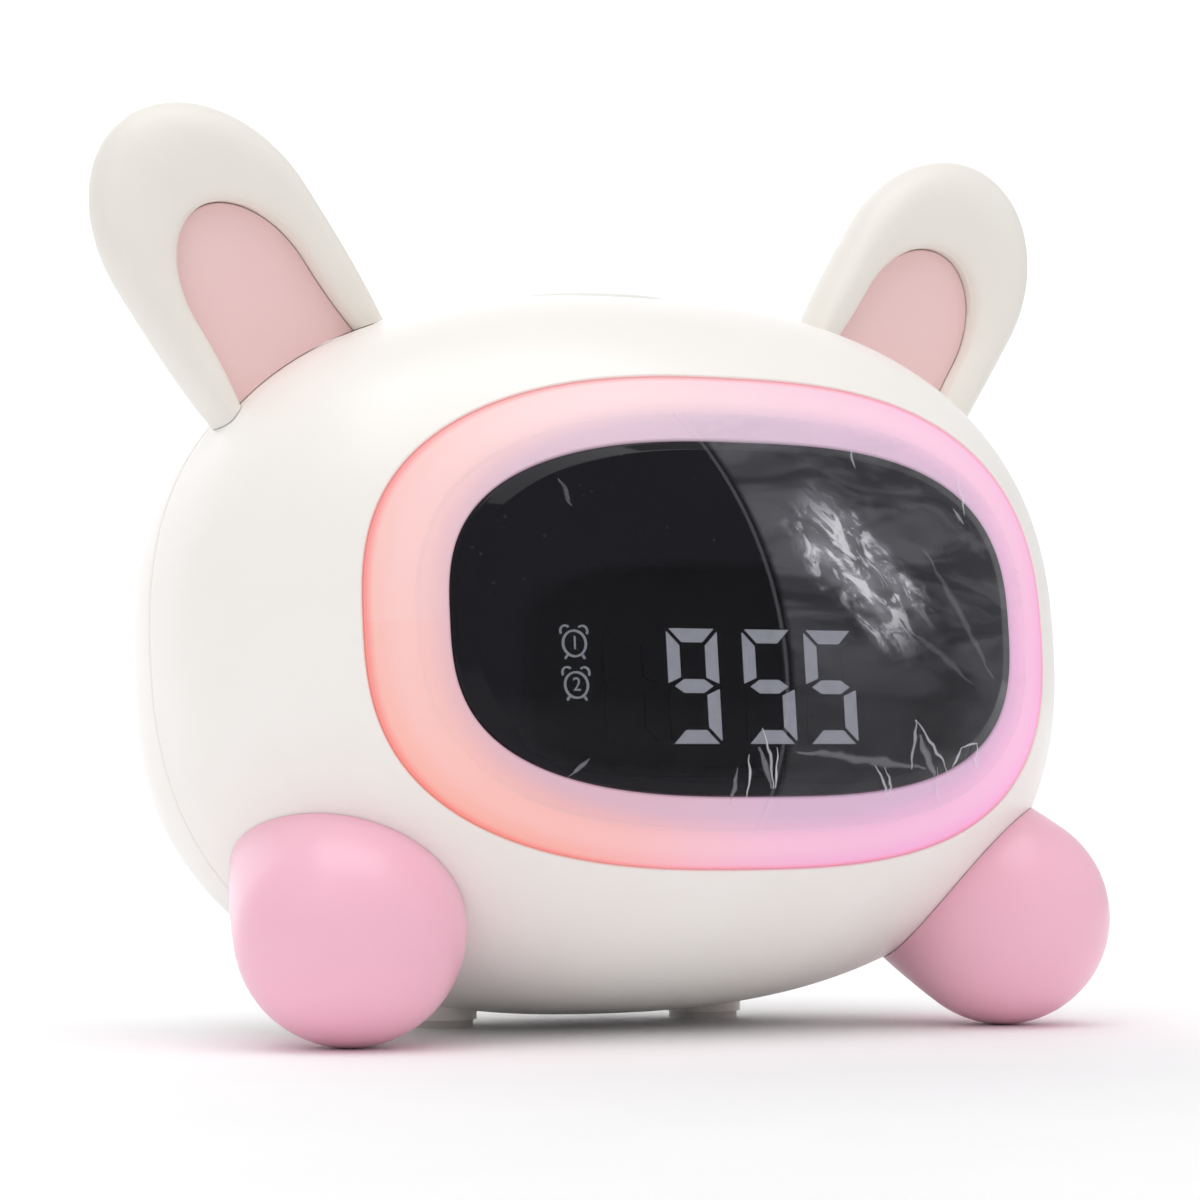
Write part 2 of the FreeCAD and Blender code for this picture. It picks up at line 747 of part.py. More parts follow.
# Four long screws that pull the two shells together
for sideX, sideZ in corners:
    name = "Shell%s%s" % ("LR"[sideX > 0], "BT"[sideZ > 0])
    x, z = size("shellScrewAcross") * sideX, size("shellScrewUp") * sideZ
    seat = size("shellScrewSeat")
    tip = seat - size("shellScrewLength")
    frontPosts.append(cylinder(name + "FrontPost", size("shellPostRadius"), frontSeam - farFront,
                               (x, farFront, z), "y"))
    frontBores.append(cylinder(name + "Thread", size("shellScrewRadius") + size("threadGap"),
                               frontSeam - tip + 2, (x, tip - 1, z), "y"))
    rearPosts.append(cylinder(name + "RearPost", size("shellPostRadius"), size("caseRearDepth"),
                              (x, rearSeam, z), "y"))
    rearBores.append(cylinder(name + "Clear", size("shellScrewRadius") + size("looseGap"),
                              size("caseRearDepth"), (x, amountOf(0), z), "y"))
    rearBores.append(cylinder(name + "Pocket", size("shellHeadRadius") + 0.5,
                              size("caseRearDepth"), (x, seat, z), "y"))
    head = cylinder(name + "Head", size("shellHeadRadius"), size("shellHeadHeight"),
                    (x, seat, z), "y")
    shank = cylinder(name + "Shank", size("shellScrewRadius"), size("shellScrewLength"),
                     (x, tip, z), "y")
    shellScrews.append(fuse(name + "Screw", [head, shank]))
pieces["shell_screws"] = group("ShellScrews", shellScrews)

# Button on top, across the seam, over a switch on a small board
buttonSeat = size("buttonSeat")
buttonPlace = size("seamPlace")
flangeRadius = size("buttonRadius") + size("flangeWidth")
flangeTop = buttonSeat - size("restGap")
flangeLow = flangeTop - size("flangeThickness")
switchTop = size("topBoardFace") + size("switchHeight")
hubLow = switchTop + size("buttonTravel") + size("stemGap")
plungerLow = (size("topBoardFace") + size("switchFloor") + size("buttonTravel")
              + size("plungerGap"))
hollowTop = buttonSeat + size("buttonHollowRise")
buttonTop = size("caseHalfHeight") + 10
capBlock = cylinder("CapBlock", size("buttonRadius"), buttonTop - flangeLow,
                    (0, buttonPlace, flangeLow))
capForm = caseForm("CapForm", number("buttonProud"))
cap = common("Cap", [capBlock, capForm])
capFlange = cylinder("CapFlange", flangeRadius, size("flangeThickness"),
                     (0, buttonPlace, flangeLow))
capHollow = cylinder("CapHollow", size("buttonRadius") - size("buttonWall"),
                     hollowTop - flangeLow, (0, buttonPlace, flangeLow))
capHub = cylinder("CapHub", size("hubRadius"), hollowTop + 1 - hubLow, (0, buttonPlace, hubLow))
capPlunger = cylinder("CapPlunger", size("plungerRadius"), hubLow + 1 - plungerLow,
                      (0, buttonPlace, plungerLow))
capShell = cut("CapShell", fuse("CapWithFlange", [cap, capFlange]), capHollow)
pieces["top_button"] = fuse("TopButton", [capShell, capHub, capPlunger])
collarOuter = cylinder("CollarOuter", flangeRadius + 1, buttonTop - buttonSeat,
                       (0, buttonPlace, buttonSeat))
collarBore = cylinder("CollarBore", size("buttonRadius") + size("slideGap"),
                      buttonTop - buttonSeat + 12, (0, buttonPlace, buttonSeat - 12))
topBoardBack = size("topBoardFace") - size("boardThickness")
topBoard = doc.addObject("Part::Box", "TopBoardBlock")
bind(topBoard, Length=size("topBoardWidth"), Width=size("topBoardDepth"),
     Height=size("boardThickness"))
settle(topBoard, (-size("topBoardWidth") / 2, size("topBoardCentre") - size("topBoardDepth") / 2,
                  topBoardBack))
topTools = []
for sideX in (-1, 1):
    name = "Top" + "LR"[sideX > 0]
    x, y = size("topPostAcross") * sideX, size("topBoardCentre") + 2
    rearPosts.append(cylinder(name + "Post", size("postRadius"), buttonTop - size("topBoardFace"),
                              (x, y, size("topBoardFace"))))
    rearBores.append(screwBore(name + "Thread", threadBore, (x, y, size("topBoardFace")), "z", 1,
                               size("boardScrewLength")))
    topTools.append(screwBore(name + "Clear", clearBore, (x, y, topBoardBack), "z", 1,
                              size("boardThickness")))
    boardScrew(name + "Screw", (x, y, topBoardBack), "z", 1)
pieces["top_board"] = cut("TopBoard", topBoard, fuse("TopBoardTools", topTools))
topSwitchBlock = doc.addObject("Part::Box", "TopSwitchBlock")
bind(topSwitchBlock, Length=size("switchSide"), Width=size("switchSide"),
     Height=size("switchHeight"))
settle(topSwitchBlock, (-size("switchSide") / 2, buttonPlace - size("switchSide") / 2,
                        size("topBoardFace")))
topSwitchBore = cylinder("TopSwitchBore", size("plungerRadius") + size("slideGap"),
                         size("switchHeight"), (0, buttonPlace,
                                                size("topBoardFace") + size("switchFloor")))
pieces["top_switch"] = cut("TopSwitch", topSwitchBlock, topSwitchBore)

# Main board on four posts of the rear shell, with a switch behind each rear key
boardFace = size("mainBoardFace")
mainBoardFront = boardFace - size("boardThickness")
mainBlock = box("MainBoardBlock", size("mainBoardWidth"), size("boardThickness"),
                size("mainBoardHeight"), (amountOf(0), mainBoardFront, size("mainBoardCentre")))
mainTools = []
for sideX, sideZ in corners:
    name = "Main%s%s" % ("LR"[sideX > 0], "BT"[sideZ > 0])
    x = size("mainScrewAcross") * sideX
    z = size("mainBoardCentre") + size("mainScrewSpread") / 2 * sideZ
    rearPosts.append(cylinder(name + "Post", size("postRadius"), size("caseRearDepth") - boardFace,
                              (x, boardFace, z), "y"))
    rearBores.append(screwBore(name + "Thread", threadBore, (x, boardFace, z), "y", 1,
                               size("boardScrewLength") - size("boardThickness") + 0.3))
    mainTools.append(screwBore(name + "Clear", clearBore, (x, mainBoardFront, z), "y", 1,
                               size("boardThickness")))
    boardScrew(name + "Screw", (x, mainBoardFront, z), "y", 1)
pieces["main_board"] = cut("MainBoard", mainBlock, fuse("MainBoardTools", mainTools))
pieces["board_screws"] = group("BoardScrews", boardScrews)

# Rear keys
keySeat = size("keySeat")
keySwitches = []


def rearDepthAt(x, z):
    power = number("caseOutlinePower")
    share = ((abs(x) / number("caseHalfWidth")) ** power
             + (abs(z) / number("caseHalfHeight")) ** power)
    share = share ** (number("caseProfilePower") / power)
    return number("caseRearDepth") * (1 - share) ** (1 / number("caseProfilePower"))


keyNames = ("outer_left", "inner_left", "inner_right", "outer_right")
for index in range(int(number("keyCount"))):
    x = size("keyPitch") * (index - (number("keyCount") - 1) / 2)
    z = size("keyUp")
    name = "Key%d" % (index + 1)
    flangeBack = keySeat - size("restGap")
    flangeFront = flangeBack - size("keyFlangeThickness")
    crown = amountOf(rearDepthAt(x.number, z.number)) + size("keyProud")
    plungerEnd = boardFace + size("switchFloor") + size("keyTravel") + size("plungerGap")
    stemEnd = boardFace + size("switchHeight") + size("keyTravel") + size("stemGap")
    key = revolved(name, [
        (0, crown), (size("keyRadius") - 0.6, crown), (size("keyRadius"), crown - 0.6),
        (size("keyRadius"), flangeBack), (size("keyRadius") + size("keyFlangeWidth"), flangeBack),
        (size("keyRadius") + size("keyFlangeWidth"), flangeFront), (2.2, flangeFront),
        (2.2, stemEnd), (size("plungerRadius"), stemEnd), (size("plungerRadius"), plungerEnd),
        (0, plungerEnd)])
    settle(key, (x, 0, z), alongTurn["y"])
    node = "rear_key_" + keyNames[index % 4] + ("" if index < 4 else "_%d" % index)
    pieces[node] = group(name + "Piece", [key])
    rearPosts.append(cylinder(name + "Collar", size("keyRadius") + size("keyFlangeWidth") + 0.8,
                              size("caseRearDepth") - keySeat, (x, keySeat, z), "y"))
    rearBores.append(cylinder(name + "Hole", size("keyRadius") + size("slideGap"),
                              size("caseRearDepth"), (x, amountOf(20), z), "y"))
    housing = box(name + "Housing", size("switchSide"), size("switchHeight"), size("switchSide"),
                  (x, boardFace, z))
    keySwitches.append(cut(name + "Switch", housing, cylinder(
        name + "SwitchBore", size("plungerRadius") + size("slideGap"), size("switchHeight"),
        (x, boardFace + size("switchFloor"), z), "y")))
pieces["key_switches"] = group("KeySwitches", keySwitches)

# Charging socket on the main board, in a slot of the rear shell
socketShell = box("SocketShell", size("socketWidth"), size("socketLength"), size("socketHeight"),
                  (amountOf(0), boardFace, size("socketUp")))
socketMouth = box("SocketMouth", size("socketWidth") - 0.8, size("socketLength"),
                  size("socketHeight") - 0.8, (amountOf(0), boardFace + 6, size("socketUp")))
socketTongue = box("SocketTongue", size("socketWidth") - 2.4, size("socketLength") - 2,
                   amountOf(0.7), (amountOf(0), boardFace, size("socketUp")))
pieces["charging_socket"] = fuse("ChargingSocket", [cut("SocketHollow", socketShell, socketMouth),
                                                    socketTongue])
rearBores.append(box("SocketSlot", size("socketWidth") + size("looseGap") * 4,
                     size("caseRearDepth"), size("socketHeight") + size("looseGap") * 4,
                     (amountOf(0), boardFace + 2, size("socketUp"))))

# Speaker on a ring of the rear shell, behind a grille of holes
speakerSeat = size("speakerSeat")
speakerUp = size("speakerUp")
speaker = revolved("SpeakerBody", [
    (0, speakerSeat - 2), (size("speakerRadius") - 4, speakerSeat - 1.2),
    (size("speakerRadius") - 1.5, speakerSeat), (size("speakerRadius"), speakerSeat),
    (size("speakerRadius"), speakerSeat - 1.2), (size("speakerRadius") - 2, speakerSeat - 1.2),
    (size("speakerRadius") - 4, speakerSeat - 7), (size("speakerRadius") - 5.5, speakerSeat - 7),
    (size("speakerRadius") - 5.5, speakerSeat - 11), (0, speakerSeat - 11)])
settle(speaker, (0, 0, speakerUp), alongTurn["y"])
pieces["speaker"] = group("Speaker", [speaker])
speakerRing = cut("SpeakerRing",
                  cylinder("SpeakerRingOuter", size("speakerRadius") + 0.5,
                           size("caseRearDepth") - speakerSeat, (0, speakerSeat, speakerUp), "y"),
                  cylinder("SpeakerRingInner", size("speakerRadius") - size("speakerSleeve"),
                           size("caseRearDepth") - speakerSeat, (0, speakerSeat, speakerUp), "y"))
rearPosts.append(speakerRing)
for ringIndex, holeCount in enumerate((1, 6, 12)):
    for index in range(holeCount):
        angle = 2 * math.pi * index / holeCount
        reach = size("grilleStep") * ringIndex
        rearBores.append(cylinder("Grille%dHole%d" % (ringIndex, index), size("grilleHoleRadius"),
                                  size("caseRearDepth"),
                                  (reach * math.cos(angle), amountOf(20),
                                   speakerUp + reach * math.sin(angle)), "y"))

# Battery cell in a holder on the back of the light board
holderBlock = box("HolderBlock", size("cellLength") + size("holderWall") * 2, size("holderHeight"),
                  (size("cellRadius") + size("holderWall")) * 2,
                  (amountOf(0), boardBack, size("cellUp")))
cellMiddle = boardBack + size("holderWall") + size("cellRadius")
cellBay = cylinder("CellBay", size("cellRadius") + size("slideGap"), size("cellLength"),
                   (-size("cellLength") / 2, cellMiddle, size("cellUp")), "x")
cellMouth = box("CellMouth", size("cellLength"), size("holderHeight"),
                size("cellRadius") * 2 - 1.2, (amountOf(0), cellMiddle, size("cellUp")))
pieces["battery_holder"] = cut("BatteryHolder", holderBlock, fuse("CellSpace", [cellBay, cellMouth]))
pieces["battery_cell"] = group("BatteryCell", [cylinder(
    "Cell", size("cellRadius"), size("cellLength"),
    (-size("cellLength") / 2, cellMiddle, size("cellUp")), "x")])

# Rear pads under two studs of the rear shell
pads, studs = [], []
for side in (-1, 1):
    spot = Vector(side * number("padAcross"), number("padBack"), groundLevel)
    name = sideNames[side].capitalize()
    pads.append(cylinderPlaced(name + "Pad", size("padRadius"), size("padThickness"),
                               upright.multiply(Placement(spot, Rotation()))))
    spot = spot + Vector(0, 0, number("padThickness"))
    studs.append(cylinderPlaced(name + "Stud", size("padRadius") + 0.6, size("studHeight"),
                                upright.multiply(Placement(spot, Rotation()))))
pieces["rear_pads"] = group("RearPads", pads)
pieces["limb_screws"] = group("LimbScrews", [tools[4] for tools in limbs.values()])

# The two shells
ringHole = window("RingHole", "ring", number("looseGap"), farFront, amountOf(-20))
limbSleeves = [tools[0] for tools in limbs.values()]
limbBores = [tools[1] for tools in limbs.values()]
frontInside = common("FrontInside", [fuse("FrontPosts", frontPosts + limbSleeves + [collarOuter]),
                                     outerForm])
frontWhole = common("FrontWhole", [fuse("FrontJoined", [caseWall, frontInside]), frontHalf])
pieces["front_shell"] = cut("FrontShell", frontWhole,
                            fuse("FrontTools", [ringHole, collarBore] + frontBores + limbBores))
collarRear = common("CollarRear", [collarOuter, rearHalf])
rearInside = common("RearInside", [fuse("RearPosts", rearPosts + [collarRear]), outerForm])
rearWhole = common("RearWhole", [fuse("RearJoined", [caseWall, rearInside]), rearHalf])
rearStudded = fuse("RearStudded", [rearWhole] + studs)
pieces["rear_shell"] = cut("RearShell", rearStudded,
                           fuse("RearTools", [collarBore] + rearBores + limbBores))

doc.recompute()
failed = [thing.Name for thing in doc.Objects if {"Invalid", "Error"} & set(thing.State)]
if failed:
    for name in failed:
        print(name, doc.getObject(name).getStatusString())
    raise SystemExit("failed objects: " + ", ".join(failed))

# Lean the case back, stand it on the ground and centre its box on the origin
standing = Placement(Vector(0, 0, -groundLevel), Rotation()).multiply(leanBack)
shapes = [thing.Shape.transformed(standing.Matrix) for thing in pieces.values()]
limits = Part.makeCompound(shapes).optimalBoundingBox(False)
middle = Vector(-(limits.XMin + limits.XMax) / 2, -(limits.YMin + limits.YMax) / 2, 0)
standing = Placement(middle, Rotation()).multiply(standing)
for node, thing in pieces.items():
    holder = doc.addObject("Part::Compound", "Standing" + "".join(
        word.capitalize() for word in node.split("_")))
    holder.Links = [thing]
    holder.Placement = standing
    holder.Label = node
    pieces[node] = holder
doc.recompute()

os.makedirs("parts", exist_ok=True)
for node, thing in pieces.items():
    if {"Invalid", "Error"} & set(thing.State):
        raise SystemExit("failed piece: " + node)
    if thing.Shape.isNull() or not thing.Shape.isValid() or not thing.Shape.Solids:
        raise SystemExit("bad shape: " + node)
    thing.Shape.exportStep("parts/%s.step" % node)
    print("%-22s solids %2d volume %9.1f" % (node, len(thing.Shape.Solids), thing.Shape.Volume))
print("shift", middle, "ground", groundLevel)
limits = Part.makeCompound([thing.Shape for thing in pieces.values()]).optimalBoundingBox(False)
print("box", limits)
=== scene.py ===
import math

import bmesh
import bpy
from mathutils import Matrix, Vector, noise


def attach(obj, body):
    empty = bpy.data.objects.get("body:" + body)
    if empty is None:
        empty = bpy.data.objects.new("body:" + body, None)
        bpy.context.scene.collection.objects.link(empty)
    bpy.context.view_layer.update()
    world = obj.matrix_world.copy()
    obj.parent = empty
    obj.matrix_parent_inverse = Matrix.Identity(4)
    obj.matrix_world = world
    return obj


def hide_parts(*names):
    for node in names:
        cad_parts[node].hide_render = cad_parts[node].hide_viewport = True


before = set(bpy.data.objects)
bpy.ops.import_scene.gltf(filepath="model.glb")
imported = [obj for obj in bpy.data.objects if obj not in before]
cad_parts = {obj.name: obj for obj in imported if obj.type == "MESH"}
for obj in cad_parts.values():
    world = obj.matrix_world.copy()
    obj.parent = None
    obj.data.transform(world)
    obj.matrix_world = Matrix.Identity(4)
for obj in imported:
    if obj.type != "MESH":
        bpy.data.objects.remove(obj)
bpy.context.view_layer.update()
print("frame loaded")

# Sizes in millimetres, in the case's own upright frame: front towards -Y, centre at zero
case = {"halfWidth": 75.0, "halfHeight": 56.26, "front": 53.49, "rear": 50.94,
        "outlinePower": 2.432, "profilePower": 2.437, "wall": 2.2, "seam": 3.75, "seamGap": 0.2,
        "lean": 6.25, "height": 58.18, "back": 1.14, "edge": 0.35, "around": 256,
        "frontRows": 70, "rearRows": 64, "innerRows": 20, "poleGap": 0.03}
ring = {"halfWidth": 59.0, "halfHeight": 37.18, "power": 2.667, "centre": -0.4,
        "gap": 0.12, "depth": 2.6, "edge": 0.6, "innerEdge": 0.4, "rows": 24}
lens = {"halfWidth": 48.2, "halfHeight": 26.56, "power": 2.854, "centre": -0.61,
        "proud": 1.0, "thickness": 2.0, "gap": 0.15, "bevelShare": 0.94, "bevelDrop": 0.75,
        "lipShare": 0.988, "lip": 0.012, "lipDrop": 0.85, "skirt": -1.6, "skirtShare": 0.965}


def standing(spot):
    # from the case frame in millimetres to the standing clock in metres
    turn = math.radians(case["lean"])
    x, y, z = spot
    back = y * math.cos(turn) + z * math.sin(turn) + case["back"]
    up = -y * math.sin(turn) + z * math.cos(turn) + case["height"]
    return Vector((x, back, up)) / 1000


def turns(count):
    # the angles of a full turn in equal steps
    return [2 * math.pi * i / count for i in range(count)]


def quarter(steps, first=0):
    # the angles of a quarter turn, from a given step on
    return [math.pi / 2 * step / steps for step in range(first, steps + 1)]


def spread(start, end, count):
    return [start + (end - start) * i / (count - 1) for i in range(count)]


def soften(mesh, sharpAngle=35):
    mesh.shade_smooth()
    if sharpAngle:
        mesh.set_sharp_from_angle(angle=math.radians(sharpAngle))


def meshPiece(name, points, faces, sharpAngle=35):
    mesh = bpy.data.meshes.new(name)
    mesh.from_pydata([tuple(p) for p in points], [], faces)
    mesh.validate()
    work = bmesh.new()
    work.from_mesh(mesh)
    bmesh.ops.recalc_face_normals(work, faces=work.faces)
    work.to_mesh(mesh)
    work.free()
    soften(mesh, sharpAngle)
    piece = bpy.data.objects.new(name, mesh)
    bpy.context.collection.objects.link(piece)
    return piece


def loopFaces(loops, startPoint=False, endPoint=False, wrap=False):
    # quads between neighbouring closed loops, with a fan to a single point at either end
    count, total = len(loops[0]), len(loops)
    faces = []
    for low in range(total if wrap else total - 1):
        high = (low + 1) % total
        for i in range(count):
            j = (i + 1) % count
            faces.append((low * count + i, low * count + j, high * count + j, high * count + i))
    last = count * total
    if startPoint:
        faces += [(last, (i + 1) % count, i) for i in range(count)]
        last += 1
    if endPoint:
        base = count * (total - 1)
        faces += [(last, base + i, base + (i + 1) % count) for i in range(count)]
    return faces


def allSpots(loops):
    return [spot for loop in loops for spot in loop]


def loopPiece(name, loops, startPoint=None, endPoint=None, wrap=False, place=standing,
              sharpAngle=35):
    points = allSpots(loops) + [spot for spot in (startPoint, endPoint) if spot is not None]
    faces = loopFaces(loops, startPoint is not None, endPoint is not None, wrap)
    return meshPiece(name, [place(Vector(p)) for p in points], faces, sharpAngle)


def casePiece(name, shapes):
    # one piece of several closed shapes, each with its points and faces, in the case frame
    points, faces = [], []
    for somePoints, someFaces in shapes:
        faces += [tuple(index + len(points) for index in face) for face in someFaces]
        points += somePoints
    return meshPiece(name, [standing(p) for p in points], faces)


def rolledEdge(loops, radius, depth, steps=6):
    # rounds the last loop over and runs inwards, square to the surface
    edge, before = loops[-1], loops[-2]
    count = len(edge)
    spots = [[] for _ in range(steps + 2)]
    for i in range(count):
        here = Vector(edge[i])
        ahead = (here - Vector(before[i])).normalized()
        along = Vector(edge[(i + 1) % count]) - Vector(edge[i - 1])
        outward = along.cross(ahead).normalized()
        if outward.dot(here) < 0:
            outward = -outward
        centre = here - ahead * radius - outward * radius
        for row, angle in zip(spots, quarter(steps)):
            row.append(centre + outward * radius * math.cos(angle)
                       + ahead * radius * math.sin(angle))
        spots[-1].append(here - outward * depth)
    return loops[:-1] + spots


def dropPiece(piece):
    bpy.data.objects.remove(piece, do_unlink=True)


def cutPiece(piece, cutter, operation="DIFFERENCE"):
    change = piece.modifiers.new("cut", "BOOLEAN")
    change.operation = operation
    change.solver = "EXACT"
    change.object = cutter
    bpy.context.view_layer.update()
    seen = piece.evaluated_get(bpy.context.evaluated_depsgraph_get())
    fresh = bpy.data.meshes.new_from_object(seen)
    piece.modifiers.clear()
    piece.data = fresh
    soften(fresh)


def trimPiece(piece, cutter, operation="DIFFERENCE"):
    cutPiece(piece, cutter, operation)
    dropPiece(cutter)


def mergeInto(piece, extra):
    work = bmesh.new()
    work.from_mesh(piece.data)
    work.from_mesh(extra.data)
    work.to_mesh(piece.data)
    work.free()
    dropPiece(extra)
    soften(piece.data)


def capped(first, second):
    # points and faces of a closed shape between two loops
    count = len(first)
    ends = [tuple(range(count)), tuple(range(count, 2 * count))]
    return first + second, loopFaces([first, second]) + ends


def rod(radius, start, end, sides=48):
    start, end = Vector(start), Vector(end)
    axis = (end - start).normalized()
    side = axis.orthogonal().normalized()
    other = axis.cross(side)
    return capped(*([base + (side * math.cos(a) + other * math.sin(a)) * radius
                     for a in turns(sides)] for base in (start, end)))


def circleLoop(x, y, z, radius, sides):
    return [Vector((x + radius * math.cos(a), y, z + radius * math.sin(a))) for a in turns(sides)]


def outlineSpot(angle, halfWidth, halfHeight, power):
    across, up = math.cos(angle), math.sin(angle)
    reach = (abs(across) ** power + abs(up) ** power) ** (-1 / power)
    return halfWidth * reach * across, halfHeight * reach * up


def outlineRod(halfWidth, halfHeight, power, up, ends, sides=48):
    # a closed rod of a rounded outline, along Y
    spots = [outlineSpot(a, halfWidth, halfHeight, power) for a in turns(sides)]
    return capped(*([Vector((across, y, up + z)) for across, z in spots] for y in ends))


caseAngles = turns(case["around"])
caseRays = [outlineSpot(a, case["halfWidth"], case["halfHeight"], case["outlinePower"])
            for a in caseAngles]


def frontDepth(x, z, growth=0.0):
    power, profile = case["outlinePower"], case["profilePower"]
    share = (abs(x) / (case["halfWidth"] + growth)) ** power
    share += (abs(z) / (case["halfHeight"] + growth)) ** power
    share = min(share, 1.0) ** (profile / power)
    return -(case["front"] + growth) * (1 - share) ** (1 / profile)


def rearDepth(x, z):
    return -frontDepth(x, z) * case["rear"] / case["front"]


def caseSpot(ray, phi, growth=0.0):
    profile = case["profilePower"]
    out, along = math.sin(phi), math.cos(phi)
    reach = (abs(out) ** profile + abs(along) ** profile) ** (-1 / profile)
    depth = (case["front"] if along > 0 else case["rear"]) + growth
    return Vector((ray[0] * (1 + growth / case["halfWidth"]) * reach * out, -reach * along * depth,
                   ray[1] * (1 + growth / case["halfHeight"]) * reach * out))


def outlineReach(window, x, z, growth=0.0):
    # below 1 inside a window's outline, above 1 outside it
    reach = (abs(x) / (window["halfWidth"] + growth)) ** window["power"]
    return reach + (abs(z - window["centre"])
                    / (window["halfHeight"] + growth)) ** window["power"]


def windowShare(ray, window, growth=0.0):
    # how far along a ray, as a share of the case outline, it meets a window's outline
    low, high = 0.0, 1.0
    for _ in range(40):
        share = (low + high) / 2
        if outlineReach(window, share * ray[0], share * ray[1], growth) < 1:
            low = share
        else:
            high = share
    return low


def phiOfShare(share):
    profile = case["profilePower"]
    return math.atan2(share, (1 - share ** profile) ** (1 / profile))


def seamPhi(place):
    profile = case["profilePower"]
    along = place / case["rear"]
    return math.pi - math.atan2((1 - along ** profile) ** (1 / profile), along)


def caseSolid(name, growth):
    loops = [[caseSpot(ray, phi, growth) for ray in caseRays]
             for phi in spread(0.02, math.pi - 0.02, 90)]
    return loopPiece(name, loops, (0, -case["front"] - growth, 0), (0, case["rear"] + growth, 0))


topButton = {"radius": 18.5, "gap": 0.12, "proud": 0.7, "edge": 0.9, "skirt": 4.0,
             "wall": 1.6, "roof": 2.8, "innerRim": 2.6, "around": 128, "hole": (44, 70)}
keys = {"radius": 4.5, "gap": 0.12, "pitch": 18.0, "up": 14.0, "proud": 1.2, "edge": 0.7,
        "depth": 5.5, "hollow": 0.17,
        "names": ("outer_left", "inner_left", "inner_right", "outer_right"),
        "dish": ((0.6, -0.16), (1.4, -0.13), (2.2, -0.08), (2.9, -0.03), (3.4, 0.0))}
pockets = {"across": 64.0, "up": 14.0, "radius": 3.3, "seat": 14.0, "wall": 0.9,
           "under": 0.7, "short": 1.2, "floor": 1, "hole": 0.4, "clear": 0.02}
socket = {"width": 9.6, "height": 3.8, "up": -1.0, "power": 5}
grille = {"up": -25.0, "radius": 0.9, "step": 3.2, "rings": (1, 6, 12)}
stud = {"across": 24.0, "back": 8.5, "radius": 6.1, "bottom": 1.2, "height": 5.0}
rearHole = (38, 60)
keyAcross = [keys["pitch"] * (index - (len(keys["names"]) - 1) / 2)
             for index in range(len(keys["names"]))]
pocketSpots = [(pockets["across"] * side, pockets["up"] * high)
               for side in (-1, 1) for high in (-1, 1)]


def buttonRod():
    low, high = topButton["hole"]
    return rod(topButton["radius"] + topButton["gap"], (0, case["seam"], low),
               (0, case["seam"], high), 96)


def makeFrontShell():
    start = [phiOfShare(windowShare(ray, ring, ring["gap"])) for ray in caseRays]
    end = seamPhi(case["seam"] - case["seamGap"] / 2)
    rows, innerRows = case["frontRows"], case["innerRows"]
    outer = [[caseSpot(ray, first + (end - first) * i / rows)
              for ray, first in zip(caseRays, start)] for i in range(rows + 1)]
    outer = rolledEdge(outer, case["edge"], case["wall"])
    outer = rolledEdge(outer[::-1], case["edge"], case["wall"])
    inner = [[caseSpot(ray, first + (end - first) * i / innerRows, -case["wall"])
              for ray, first in zip(caseRays, start)] for i in range(1, innerRows)]
    shell = loopPiece("caseFront", outer + inner, wrap=True)
    trimPiece(shell, casePiece("buttonCutter", [buttonRod()]))
    return shell


def cup(x, z):
    # the screw pocket's sleeve with its floor
    hole, clear, seat = pockets["hole"], pockets["clear"], pockets["seat"]
    inside, outside = pockets["radius"] + clear, pockets["radius"] + pockets["wall"]
    low, floor, top = seat - pockets["floor"], seat - clear, rearDepth(x, z) - pockets["short"]
    loops = [circleLoop(x, y, z, r, 40) for y, r in (
        (low, hole), (low, outside), (top, outside), (top, inside), (floor, inside),
        (floor, hole))]
    return allSpots(loops), loopFaces(loops, wrap=True)


def padStud(side):
    # upright on the floor, so it leans back in the case frame
    turn = math.radians(case["lean"])
    low = Vector((stud["across"] * side, stud["back"], stud["bottom"] - case["height"]))
    ends = [Vector((spot.x, spot.y * math.cos(turn) - spot.z * math.sin(turn),
                    spot.y * math.sin(turn) + spot.z * math.cos(turn)))
            for spot in (low, low + Vector((0, 0, stud["height"])))]
    return rod(stud["radius"], *ends)


def makeRearShell():
    pole = math.pi - case["poleGap"]
    start = seamPhi(case["seam"] + case["seamGap"] / 2)
    outer = [[caseSpot(ray, phi) for ray in caseRays]
             for phi in spread(pole, start, case["rearRows"])]
    outer = rolledEdge(outer, case["edge"], case["wall"])
    inner = [[caseSpot(ray, phi, -case["wall"]) for ray in caseRays]
             for phi in spread(start, pole, case["innerRows"])[1:]]
    shell = loopPiece("caseRear", outer + inner, (0, case["rear"], 0),
                      (0, case["rear"] - case["wall"], 0))
    low, high = rearHole
    shapes = [buttonRod()]
    keyHole, up = keys["radius"] + keys["gap"], keys["up"]
    shapes += [rod(keyHole, (x, low, up), (x, high, up)) for x in keyAcross]
    for x, z in pocketSpots:
        shapes.append(rod(pockets["radius"], (x, pockets["seat"], z), (x, high, z)))
    for circle, count in enumerate(grille["rings"]):
        for angle in turns(count):
            x = grille["step"] * circle * math.cos(angle)
            z = grille["up"] + grille["step"] * circle * math.sin(angle)
            shapes.append(rod(grille["radius"], (x, low, z), (x, high, z), 20))
    shapes.append(outlineRod(socket["width"] / 2, socket["height"] / 2, socket["power"],
                             socket["up"], rearHole))
    trimPiece(shell, casePiece("rearCutter", shapes))
    cups = casePiece("pocketCups", [cup(x, z) for x, z in pocketSpots])
    trimPiece(cups, caseSolid("cupLimit", -pockets["under"]), "INTERSECT")
    mergeInto(shell, cups)
    mergeInto(shell, casePiece("padStuds", [padStud(-1), padStud(1)]))
    return shell


